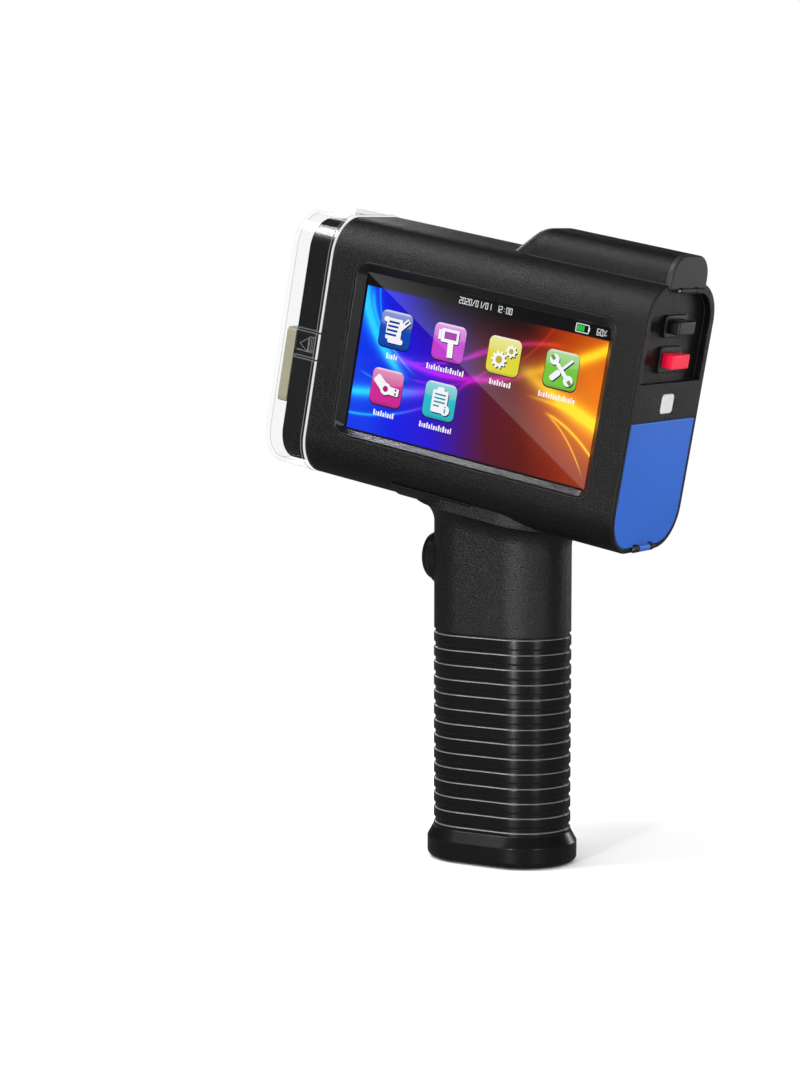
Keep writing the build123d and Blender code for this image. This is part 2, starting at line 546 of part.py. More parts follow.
with BuildPart() as muzzle_frame:
    extrude(casing_section(FRAME_FRONT, FRAME_INSET), amount=MUZZLE_END - FRAME_FRONT)
    fillet(muzzle_frame.edges().group_by(HEAD_LONG_AXIS)[0], 0.8)
    extrude(casing_section(MUZZLE_END - 1, WALL + GAP), amount=8)
    extrude(casing_section(FRAME_FRONT + FRAME_PLATE, FRAME_INSET + FRAME_WALL), amount=30,
            mode=Mode.SUBTRACT)
    # bearing blocks of the roller, with their bores
    for low, high in ((-8.4, -4.6), (18.6, 22.0)):
        head_box((FRAME_FRONT + 0.5, ROLLER_CENTRE[0] + 3.2), (14.2, 20.6), (low, high))
    bar(level(-7.4), ROLLER_CENTRE, BUSH_RADIUS + 0.01, 40, Mode.SUBTRACT)
    head_box((FRAME_FRONT - 1, FRAME_FRONT + FRAME_PLATE + 0.1),
             (ROLLER_CENTRE[1] - ROLLER_RADIUS - GAP, ROLLER_CENTRE[1] + ROLLER_RADIUS + GAP),
             (ROLLER_LOW - 0.4, ROLLER_HIGH + 0.4), mode=Mode.SUBTRACT)
    # loading mouth of the cartridge and the slot of its latch
    mouth_height = CARTRIDGE_HIGH - CARTRIDGE_LOW + 0.8
    slab(across(FRAME_FRONT - 1), (CARTRIDGE_Y, (CARTRIDGE_HIGH + CARTRIDGE_LOW) / 2),
         (CARTRIDGE_THICKNESS + 0.6, mouth_height), 4, 3, Mode.SUBTRACT)
    slab(across(FRAME_FRONT - 1), (0, 36.6), (2 * LATCH_HALF_WIDTH + 0.6, 8.4), 5.5, mode=Mode.SUBTRACT)
    for side in (-1, 1):
        ear_y = sorted((side * (LATCH_HALF_WIDTH + 0.2), side * (LATCH_HALF_WIDTH + 3)))
        head_box((LATCH_PIVOT[0] - 2, LATCH_PIVOT[0] + 2), ear_y, (LATCH_PIVOT[1] - 1.8, 40.8))
    bar(facing(9), LATCH_PIVOT, 0.8, 18, Mode.SUBTRACT)
    # channels that the cap's snap tabs ride in
    for side in (-1, 1):
        face = side * (HALF_DEPTH - FRAME_INSET)
        channel = sorted((face - side * 0.8, face + side))
        head_box((FRAME_FRONT - 1, MUZZLE_END - 3), channel, (-4.6, 1.2), mode=Mode.SUBTRACT)
muzzle_frame.part.label = "muzzle_frame"
export_step(muzzle_frame.part, "parts/muzzle_frame.step")

CAP_WALL = 1.4
CAP_END_WALL = 1.5          # thickness of the cap's end wall
SEAL_DEPTH = FRAME_FRONT - CAP_FRONT - CAP_END_WALL - 0.35
TAB_LOW = -6.5
TAB_HIGH = 3.0
with BuildPart() as muzzle_cap:
    extrude(casing_section(CAP_FRONT), amount=MUZZLE_END - 0.05 - CAP_FRONT)
    fillet(muzzle_cap.edges().group_by(HEAD_LONG_AXIS)[0], 1.6)
    extrude(casing_section(MUZZLE_END - 1.5, -0.4), amount=1.45)
    extrude(casing_section(CAP_FRONT + CAP_END_WALL, CAP_WALL), amount=20, mode=Mode.SUBTRACT)
    for height in (TAB_LOW, TAB_HIGH):
        head_box((MUZZLE_END - 10, MUZZLE_END + 1), (-HALF_DEPTH - 1, HALF_DEPTH + 1),
                 (height - 0.35, height + 0.35), mode=Mode.SUBTRACT)
    for side in (-1, 1):
        inner = side * (HALF_DEPTH - CAP_WALL)
        barb = sorted((inner - side * (FRAME_INSET - CAP_WALL + 0.5), inner + side * 0.2))
        head_box((MUZZLE_END - 5, MUZZLE_END - 3.4), barb, (-4.2, 0.8))
        with BuildSketch(facing(side * HALF_DEPTH)) as arrow:
            with BuildLine():
                Polyline((MUZZLE_END - 7.6, -1.7), (MUZZLE_END - 4, -4.2), (MUZZLE_END - 4, 0.8), close=True)
            make_face()
        extrude(arrow.sketch, amount=-side * 0.4)
muzzle_cap.part.label = "muzzle_cap"
export_step(muzzle_cap.part, "parts/muzzle_cap.step")

with BuildPart() as nozzle_seal:
    slab(across(CAP_FRONT + CAP_END_WALL), (-4.7, NOZZLE_Z), (33.4, 26.2), SEAL_DEPTH - 0.1, 1.5)
    slab(across(CAP_FRONT + CAP_END_WALL), (3.9, NOZZLE_Z), (12.5, 21), SEAL_DEPTH, 2)
nozzle_seal.part.label = "nozzle_seal"
export_step(nozzle_seal.part, "parts/nozzle_seal.step")

with BuildPart() as encoder_roller:
    bar(level(ROLLER_LOW), ROLLER_CENTRE, ROLLER_RADIUS, ROLLER_HIGH - ROLLER_LOW)
    chamfer(encoder_roller.edges(), 0.4)
    bar(level(ROLLER_LOW - 1), ROLLER_CENTRE, SHAFT_RADIUS, 40, Mode.SUBTRACT)
encoder_roller.part.label = "encoder_roller"
export_step(encoder_roller.part, "parts/encoder_roller.step")

with BuildPart() as roller_shaft:
    bar(level(-7.2), ROLLER_CENTRE, SHAFT_RADIUS, 30)
roller_shaft.part.label = "roller_shaft"
export_step(roller_shaft.part, "parts/roller_shaft.step")

with BuildPart() as roller_bushes:
    for low in (-7.4, 18.6):
        bar(level(low), ROLLER_CENTRE, BUSH_RADIUS, 2.8)
    bar(level(-20), ROLLER_CENTRE, SHAFT_RADIUS + RUN, 60, Mode.SUBTRACT)
roller_bushes.part.label = "roller_bushes"
export_step(roller_bushes.part, "parts/roller_bushes.step")

with BuildPart() as encoder_magnet:
    bar(level(22.8), ROLLER_CENTRE, 1.8, 2.4)
encoder_magnet.part.label = "encoder_magnet"
export_step(encoder_magnet.part, "parts/encoder_magnet.step")

with BuildPart() as encoder_board:
    head_box((FRAME_FRONT + 1.6, -62.5), (13.6, 20.2), (26.4, 27.4))
    head_box((ROLLER_CENTRE[0] - 0.8, ROLLER_CENTRE[0] + 2.2), (15.1, 18.1), (25.7, 26.5))
encoder_board.part.label = "encoder_board"
export_step(encoder_board.part, "parts/encoder_board.step")

with BuildPart() as cartridge_latch:
    pivot_x, pivot_z = LATCH_PIVOT
    bar(facing(LATCH_HALF_WIDTH), LATCH_PIVOT, 1.7, 2 * LATCH_HALF_WIDTH)
    lever_y = (-LATCH_HALF_WIDTH, LATCH_HALF_WIDTH)
    head_box((FRAME_FRONT - 1.4, pivot_x), lever_y, (pivot_z - 1.2, pivot_z + 0.8))
    head_box((CARTRIDGE_FRONT - 1.7, CARTRIDGE_FRONT - 0.2), lever_y, (33.0, pivot_z))
    bar(facing(9), LATCH_PIVOT, 0.8 + RUN, 18, Mode.SUBTRACT)
cartridge_latch.part.label = "cartridge_latch"
export_step(cartridge_latch.part, "parts/cartridge_latch.step")

with BuildPart() as latch_pin:
    bar(facing(LATCH_HALF_WIDTH + 2.8), LATCH_PIVOT, 0.79, 2 * LATCH_HALF_WIDTH + 5.6)
latch_pin.part.label = "latch_pin"
export_step(latch_pin.part, "parts/latch_pin.step")

# ---------------------------------------------------------------- ink cartridge and its cradle
LID_THICKNESS = 1.5
SHELL_WALL = 1.5
BODY_CENTRE = ((CARTRIDGE_FRONT + CARTRIDGE_BACK) / 2, (CARTRIDGE_LOW + CARTRIDGE_HIGH) / 2)
BODY_SIZE = (CARTRIDGE_BACK - CARTRIDGE_FRONT, CARTRIDGE_HIGH - CARTRIDGE_LOW)
BODY_ROUND = 7.0

with BuildPart() as cartridge_body:
    slab(facing(CARTRIDGE_SIDE[1] - LID_THICKNESS), BODY_CENTRE, BODY_SIZE,
         CARTRIDGE_THICKNESS - LID_THICKNESS, BODY_ROUND)
    fillet(cartridge_body.edges().group_by(Axis.Y)[0], 0.8)
    head_box((FRAME_FRONT, CARTRIDGE_FRONT + 4), (-7, 7), (NOZZLE_Z - 11.5, NOZZLE_Z + 11.5), 1.5)
    head_box((CARTRIDGE_FRONT - 3, CARTRIDGE_FRONT + 4), (-8, 8), (18.0, 30.0), 1.0)
    for height in (19.5, 22.5, 25.5, 28.5):
        head_box((CARTRIDGE_FRONT - 4, CARTRIDGE_FRONT - 2.4), (-9, 9), (height - 0.6, height + 0.6),
                 mode=Mode.SUBTRACT)
    slab(facing(CARTRIDGE_SIDE[1]), BODY_CENTRE,
         (BODY_SIZE[0] - 2 * SHELL_WALL, BODY_SIZE[1] - 2 * SHELL_WALL),
         CARTRIDGE_THICKNESS - SHELL_WALL, BODY_ROUND - SHELL_WALL, Mode.SUBTRACT)
cartridge_body.part.label = "cartridge_body"
export_step(cartridge_body.part, "parts/cartridge_body.step")

with BuildPart() as cartridge_lid:
    slab(facing(CARTRIDGE_SIDE[1]), BODY_CENTRE, BODY_SIZE, LID_THICKNESS, BODY_ROUND)
    fillet(cartridge_lid.edges().group_by(Axis.Y)[-1], 0.6)
cartridge_lid.part.label = "cartridge_lid"
export_step(cartridge_lid.part, "parts/cartridge_lid.step")

with BuildPart() as ink_bag:
    slab(facing(CARTRIDGE_SIDE[1] - LID_THICKNESS - 0.5), BODY_CENTRE, (BODY_SIZE[0] - 5, BODY_SIZE[1] - 5),
         CARTRIDGE_THICKNESS - LID_THICKNESS - SHELL_WALL - 1, 5)
    fillet(ink_bag.edges().group_by(Axis.Y)[0] + ink_bag.edges().group_by(Axis.Y)[-1], 4)
ink_bag.part.label = "ink_bag"
export_step(ink_bag.part, "parts/ink_bag.step")

with BuildPart() as nozzle_plate:
    slab(across(FRAME_FRONT - 0.2), (0, NOZZLE_Z), (8, 17), 0.2, 0.6)
    for row in (-1.5, 1.5):
        slab(across(FRAME_FRONT - 1), (row, NOZZLE_Z), (0.3, 12.7), 2, mode=Mode.SUBTRACT)
nozzle_plate.part.label = "nozzle_plate"
export_step(nozzle_plate.part, "parts/nozzle_plate.step")

with BuildPart() as cartridge_contacts:
    head_box((-50, -30), (-7, 7), (CARTRIDGE_LOW - 0.1, CARTRIDGE_LOW))
cartridge_contacts.part.label = "cartridge_contacts"
export_step(cartridge_contacts.part, "parts/cartridge_contacts.step")

CRADLE_WALL = 1.2
CRADLE_FRONT = MUZZLE_END + 8
with BuildPart() as cartridge_cradle:
    room = 0.2
    slab(across(CRADLE_FRONT), (CARTRIDGE_Y, BODY_CENTRE[1]),
         (CARTRIDGE_THICKNESS + 2 * (room + CRADLE_WALL), BODY_SIZE[1] + 2 * (room + CRADLE_WALL)),
         CARTRIDGE_BACK + 2.4 - CRADLE_FRONT, 1.5)
    slab(across(CRADLE_FRONT - 1), (CARTRIDGE_Y, BODY_CENTRE[1]),
         (CARTRIDGE_THICKNESS + 2 * room, BODY_SIZE[1] + 2 * room),
         CARTRIDGE_BACK + room - CRADLE_FRONT + 1, 0.5, Mode.SUBTRACT)
    for x in (-38, -18):
        slab(facing(30), (x, 0), (14, 44), 60, 4, Mode.SUBTRACT)
    head_box((-49, -31), (-7, 7), (CARTRIDGE_LOW - 5, CARTRIDGE_LOW + 1), mode=Mode.SUBTRACT)
cartridge_cradle.part.label = "cartridge_cradle"
export_step(cartridge_cradle.part, "parts/cartridge_cradle.step")

with BuildPart() as contact_board:
    head_box((-50.5, -29.5), (-9, 9), (CARTRIDGE_LOW - 2.6, CARTRIDGE_LOW - 1.45))
    for x in range(-46, -32, 3):
        for y in (-4.5, -1.5, 1.5, 4.5):
            bar(level(CARTRIDGE_LOW - 1.6), (x, y), 0.5, 1.5)
contact_board.part.label = "contact_board"
export_step(contact_board.part, "parts/contact_board.step")

# ---------------------------------------------------------------- battery, its bay and door
BAY_INNER = 29.2
BAY_CENTRE = (2.5, -22.8)
BAY_WALL = 1.2
BAY_FRONT = 5.9
DOOR_THICKNESS = 2.5
with BuildPart() as battery_bay:
    slab(across(BAY_FRONT), BAY_CENTRE, (BAY_INNER + 2 * BAY_WALL, BAY_INNER + 2 * BAY_WALL),
         REAR_WALL - BAY_FRONT - 0.05, 2)
    slab(across(BAY_FRONT + BAY_WALL), BAY_CENTRE, (BAY_INNER, BAY_INNER), 60, 1, Mode.SUBTRACT)
battery_bay.part.label = "battery_bay"
export_step(battery_bay.part, "parts/battery_bay.step")

CELLS_START = 8.5
with BuildPart() as battery_cells:
    for y in (-1, 1):
        for z in (-1, 1):
            pitch = CELL_DIAMETER / 2 + 0.1
            centre = (BAY_CENTRE[0] + y * pitch, BAY_CENTRE[1] + z * pitch)
            bar(across(CELLS_START), centre, CELL_DIAMETER / 2, CELL_LENGTH - 1)
            bar(across(CELLS_START + CELL_LENGTH - 1.1), centre, 2.6, 1.1)
battery_cells.part.label = "battery_cells"
export_step(battery_cells.part, "parts/battery_cells.step")

with BuildPart() as battery_contacts:
    slab(across(BAY_FRONT + BAY_WALL), BAY_CENTRE, (26, 26), 0.6)
    for y in (-1, 1):
        for z in (-1, 1):
            centre = (BAY_CENTRE[0] + y * 7.1, BAY_CENTRE[1] + z * 7.1)
            bar(across(BAY_FRONT + BAY_WALL + 0.5), centre, 3, CELLS_START - BAY_FRONT - BAY_WALL - 0.5)
battery_contacts.part.label = "battery_contacts"
export_step(battery_contacts.part, "parts/battery_contacts.step")

with BuildPart() as battery_door:
    extrude(casing_section(POCKET_FLOOR + 0.05, 1.75, high=DOOR_TOP - 0.15), amount=DOOR_THICKNESS)
    rim = battery_door.edges().group_by(HEAD_LONG_AXIS)[-1]
    fillet(rim, 0.5)
    for side in (-1, 1):
        bar(facing(side * 3.6), DOOR_HINGE, DOOR_KNUCKLE + 0.15, -side * 3.2, Mode.SUBTRACT)
    bar(facing(3.6), DOOR_HINGE, DOOR_KNUCKLE, 7.2)
    bar(facing(9), DOOR_HINGE, 0.6 + RUN, 18, Mode.SUBTRACT)
battery_door.part.label = "battery_door"
export_step(battery_door.part, "parts/battery_door.step")

with BuildPart() as door_pin:
    bar(facing(6.3), DOOR_HINGE, 0.6, 12.6)
door_pin.part.label = "door_pin"
export_step(door_pin.part, "parts/door_pin.step")

# ---------------------------------------------------------------- rear switches and door release
SWITCH_BACK = 50.0
CAP_FACE = REAR_END + 2.7
CAP_BACK = 54.2
CAVITY_BACK = 51.5


def switch_housing(name):
    """A push switch's fixed housing, with a flange on the pocket floor."""
    width, height = SWITCH_CAP[name]
    with BuildPart() as housing:
        slab(across(POCKET_FLOOR), (0, BUTTON_Z[name]), SWITCH_FRAME[name], 1.0, 1.2)
        chamfer(housing.edges().group_by(HEAD_LONG_AXIS)[-1], 0.3)
        slab(across(SWITCH_BACK), (0, BUTTON_Z[name]), SWITCH_NECK[name], POCKET_FLOOR - SWITCH_BACK, 0.8)
        slab(across(CAVITY_BACK), (0, BUTTON_Z[name]), (width + 2 * GAP, height + 2 * GAP), 20, 0.5,
             Mode.SUBTRACT)
    return housing


def switch_cap(name):
    """A push switch's moving cap, a bar with rounded edges on its face."""
    with BuildPart() as cap:
        slab(across(CAP_BACK), (0, BUTTON_Z[name]), SWITCH_CAP[name], CAP_FACE - CAP_BACK, 0.5)
        fillet(cap.edges().group_by(HEAD_LONG_AXIS)[-1], 0.45)
    return cap


def switch_spring(name):
    """The return spring between a switch's cap and the back of its housing."""
    start = head_point(CAVITY_BACK, 0, BUTTON_Z[name])
    with BuildPart() as coil:
        add(spring(start, HEAD_X, 1.5, 0.2, CAP_BACK - CAVITY_BACK, 3))
    return coil


black_switch_housing = switch_housing("black")
black_switch_housing.part.label = "black_switch_housing"
export_step(black_switch_housing.part, "parts/black_switch_housing.step")

black_button = switch_cap("black")
black_button.part.label = "black_button"
export_step(black_button.part, "parts/black_button.step")

black_button_spring = switch_spring("black")
black_button_spring.part.label = "black_button_spring"
export_step(black_button_spring.part, "parts/black_button_spring.step")

red_switch_housing = switch_housing("red")
red_switch_housing.part.label = "red_switch_housing"
export_step(red_switch_housing.part, "parts/red_switch_housing.step")

red_button = switch_cap("red")
red_button.part.label = "red_button"
export_step(red_button.part, "parts/red_button.step")

red_button_spring = switch_spring("red")
red_button_spring.part.label = "red_button_spring"
export_step(red_button_spring.part, "parts/red_button_spring.step")

with BuildPart() as switch_bracket:
    slab(across(SWITCH_BACK - 1.5), (0, 15.5), (32, 40), 1.5, 2)
switch_bracket.part.label = "switch_bracket"
export_step(switch_bracket.part, "parts/switch_bracket.step")

RELEASE_FACE = REAR_END + 0.4
with BuildPart() as release_button:
    slab(across(REAR_WALL - 0.5), (0, RELEASE_Z), (8.2, 6.6), RELEASE_FACE - REAR_WALL + 0.5, 1.4)
    fillet(release_button.edges().group_by(HEAD_LONG_AXIS)[-1], 0.5)
    slab(across(REAR_WALL - 1.6), (0, RELEASE_Z), (11, 8.6), 1.5, 1)
release_button.part.label = "release_button"
export_step(release_button.part, "parts/release_button.step")

with BuildPart() as release_spring:
    add(spring(head_point(SWITCH_BACK, 0, RELEASE_Z), HEAD_X, 2.4, 0.25, REAR_WALL - 1.6 - SWITCH_BACK, 4))
release_spring.part.label = "release_spring"
export_step(release_spring.part, "parts/release_spring.step")

# ---------------------------------------------------------------- ports behind the hump's end cover
with BuildPart() as port_board:
    head_box((38, HUMP_REAR - 2.1), (-10, 10), (42.6, 43.8))
port_board.part.label = "port_board"
export_step(port_board.part, "parts/port_board.step")

with BuildPart() as usb_socket:
    slab(across(HUMP_REAR - 13.1), USB_CENTRE, (USB_OPENING[0] - 0.2, USB_OPENING[1] - 0.2), 13, 0.3)
    slab(across(HUMP_REAR - 11), USB_CENTRE, (USB_OPENING[0] - 1, USB_OPENING[1] - 1), 12, 0.2, Mode.SUBTRACT)
    slab(across(HUMP_REAR - 11.5), (USB_CENTRE[0], USB_CENTRE[1] + 1.1), (10.8, 1.6), 10.5)
usb_socket.part.label = "usb_socket"
export_step(usb_socket.part, "parts/usb_socket.step")

with BuildPart() as power_jack:
    bar(across(HUMP_REAR - 11.1), JACK_CENTRE, JACK_RADIUS, 11)
    bar(across(HUMP_REAR - 9), JACK_CENTRE, JACK_RADIUS - 0.5, 12, Mode.SUBTRACT)
    bar(across(HUMP_REAR - 10), JACK_CENTRE, 0.9, 8)
power_jack.part.label = "power_jack"
export_step(power_jack.part, "parts/power_jack.step")

with BuildPart() as port_cover:
    with BuildSketch(across(HUMP_REAR + 0.05)) as outline:
        with Locations((0, (PORT_HINGE[1] + 0.2 + HUMP_TOP) / 2)):
            Rectangle(HUMP_WIDTH, HUMP_TOP - PORT_HINGE[1] - 0.2)
        fillet(outline.vertices().group_by(Axis.Y)[-1], HUMP_ROUND)
        fillet(outline.vertices().group_by(Axis.Y)[0], 0.6)
    extrude(outline.sketch, amount=PORT_HINGE[0] - HUMP_REAR - 0.1)
    fillet(port_cover.edges().group_by(HEAD_LONG_AXIS)[-1], 0.7)
    for side in (-1, 1):
        bar(facing(side * 4), PORT_HINGE, PORT_KNUCKLE + 0.15, -side * 2.8, Mode.SUBTRACT)
    bar(facing(4), PORT_HINGE, PORT_KNUCKLE, 8)
    bar(facing(9), PORT_HINGE, 0.45 + RUN, 18, Mode.SUBTRACT)
port_cover.part.label = "port_cover"
export_step(port_cover.part, "parts/port_cover.step")

with BuildPart() as port_cover_pin:
    bar(facing(6.4), PORT_HINGE, 0.45, 12.8)
port_cover_pin.part.label = "port_cover_pin"
export_step(port_cover_pin.part, "parts/port_cover_pin.step")

# ---------------------------------------------------------------- wiring from the trigger to the board
with BuildPart() as trigger_cable:
    with BuildLine():
        start = Vector(-5.5, 0, TRIGGER_Z + 7.5)
        turn = head_point(3.2, 0, -38)
        route = Spline(start, turn, head_point(3.2, -11.5, -33), tangents=(Vector(0, 0, 1), -ACROSS))
    with BuildSketch(Plane(origin=route @ 0, z_dir=route % 0)):
        Circle(1.1)
    sweep(path=route)
trigger_cable.part.label = "trigger_cable"
export_step(trigger_cable.part, "parts/trigger_cable.step")
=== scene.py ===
"""Looks, light and camera for the handheld inkjet printer. Metres, in the CAD frame."""

import json
from math import cos, pi, radians, sin, sqrt

import bmesh
import bpy
from mathutils import Matrix, Vector


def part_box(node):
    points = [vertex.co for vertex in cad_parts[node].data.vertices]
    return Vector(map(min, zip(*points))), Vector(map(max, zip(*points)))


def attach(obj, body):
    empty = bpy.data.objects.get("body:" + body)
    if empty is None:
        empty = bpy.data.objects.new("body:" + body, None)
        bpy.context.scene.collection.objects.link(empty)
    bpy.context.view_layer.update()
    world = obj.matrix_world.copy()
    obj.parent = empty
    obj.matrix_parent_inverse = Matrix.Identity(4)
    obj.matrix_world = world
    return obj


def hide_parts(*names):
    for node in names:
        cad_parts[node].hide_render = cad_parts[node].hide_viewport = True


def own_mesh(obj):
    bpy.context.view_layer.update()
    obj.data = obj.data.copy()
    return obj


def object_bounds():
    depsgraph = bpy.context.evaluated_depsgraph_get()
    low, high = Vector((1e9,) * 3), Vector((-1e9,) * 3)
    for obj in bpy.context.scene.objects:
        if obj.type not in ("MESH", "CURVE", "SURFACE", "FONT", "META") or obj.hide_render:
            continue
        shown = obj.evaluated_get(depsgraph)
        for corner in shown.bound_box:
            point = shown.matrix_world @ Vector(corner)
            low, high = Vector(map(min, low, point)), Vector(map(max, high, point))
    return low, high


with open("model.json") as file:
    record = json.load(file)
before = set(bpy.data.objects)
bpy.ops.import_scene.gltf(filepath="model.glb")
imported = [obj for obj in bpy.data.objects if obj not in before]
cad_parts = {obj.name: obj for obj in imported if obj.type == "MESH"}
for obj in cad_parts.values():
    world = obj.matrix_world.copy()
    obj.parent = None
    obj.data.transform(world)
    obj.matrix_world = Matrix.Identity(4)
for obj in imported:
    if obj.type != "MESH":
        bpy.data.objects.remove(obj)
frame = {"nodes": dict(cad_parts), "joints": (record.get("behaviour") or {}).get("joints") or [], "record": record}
cad_low, cad_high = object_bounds()
scene = bpy.context.scene
scene.view_settings.view_transform = "Standard"
scene.view_settings.look = "None"

MM = 0.001


# ------------------------------------------------------------------ places, from the frame
def middle(node):
    """Centre of a CAD node's box."""
    low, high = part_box(node)
    return (low + high) / 2


def joint(name):
    return next(j for j in frame["joints"] if j["name"] == name)


MUZZLE_WAY = Vector(joint("cap_slide")["axis"])
HEAD_X = -MUZZLE_WAY
HEAD_Y = Vector((0, 1, 0))
HEAD_Z = HEAD_X.cross(HEAD_Y)
PANEL = middle("lcd_panel")
PANEL_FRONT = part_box("lcd_panel")[0].y
HEIGHT = cad_high.z - cad_low.z


def panel_size():
    """Length and height of the tilted display panel, from its upright box."""
    low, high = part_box("lcd_panel")
    wide, tall = high.x - low.x, high.z - low.z
    c, s = HEAD_X.x, abs(HEAD_X.z)
    return (wide * c - tall * s) / (c * c - s * s), (tall * c - wide * s) / (c * c - s * s)


PANEL_LENGTH, PANEL_HEIGHT = panel_size()
SCREEN_W = 0.9009 * PANEL_LENGTH        # the lit area's share of the panel
SCREEN_H = 0.8015 * PANEL_HEIGHT
RIM_PLACE = -0.583 * PANEL_LENGTH       # where the clear cap's rim meets the casing, along the head


def head_place(x, y, z):
    """A point from head coordinates: along the head and up it from the screen's centre; y is world Y."""
    point = PANEL + HEAD_X * x + HEAD_Z * z
    return Vector((point.x, y, point.z))


def screen_place(across, down, lift=0.0):
    """A point on the lit area, as shares from its left and top edges, lifted towards the viewer."""
    return head_place((across - 0.5) * SCREEN_W, PANEL_FRONT - lift, (0.5 - down) * SCREEN_H)


# ------------------------------------------------------------------ the main view
AZIMUTH = radians(30.1)
ELEVATION = radians(5.5)
DISTANCE = 1.03
LOOK_AT = Vector((0, 0, 0.537 * HEIGHT))
AIM_RIGHT = -0.03423                    # the printer stands right of the picture's centre, and above it
AIM_UP = -0.01138
LENS = 98.9
VIEW_BACK = Vector((sin(AZIMUTH) * cos(ELEVATION), -cos(AZIMUTH) * cos(ELEVATION), sin(ELEVATION)))
GLARE = 0.038                           # brightness of the glare on each face of the glass


# ------------------------------------------------------------------ shader arithmetic
class Num:
    """A number flowing through a node tree, with ordinary arithmetic."""

    def __init__(self, tree, socket):
        self.tree = tree
        self.socket = socket

    def math(self, operation, *others, clamp=False):
        node = self.tree.nodes.new("ShaderNodeMath")
        node.operation = operation
        node.use_clamp = clamp
        self.tree.links.new(self.socket, node.inputs[0])
        for place, other in enumerate(others, 1):
            if isinstance(other, Num):
                self.tree.links.new(other.socket, node.inputs[place])
            else:
                node.inputs[place].default_value = other
        return Num(self.tree, node.outputs[0])

    def __add__(self, other):
        return self.math("ADD", other)

    def __sub__(self, other):
        return self.math("SUBTRACT", other)

    def __rsub__(self, other):
        return self.math("MULTIPLY", -1).math("ADD", other)

    def __mul__(self, other):
        return self.math("MULTIPLY", other)

    def __truediv__(self, other):
        return self.math("DIVIDE", other)

    def sine(self):
        return self.math("SINE")

    def clamp(self):
        return self.math("ADD", 0.0, clamp=True)

    def step(self, start, end):
        """Smooth change from 0 at start to 1 at end."""
        node = self.tree.nodes.new("ShaderNodeMapRange")
        node.interpolation_type = "SMOOTHSTEP"
        self.tree.links.new(self.socket, node.inputs["Value"])
        node.inputs["From Min"].default_value = start
        node.inputs["From Max"].default_value = end
        return Num(self.tree, node.outputs["Result"])

    def glow(self, width):
        """A soft peak where the number is 0, falling away over width."""
        return (self / (1.3 * width)).math("POWER", 2).math("ADD", 1).math("POWER", -2)


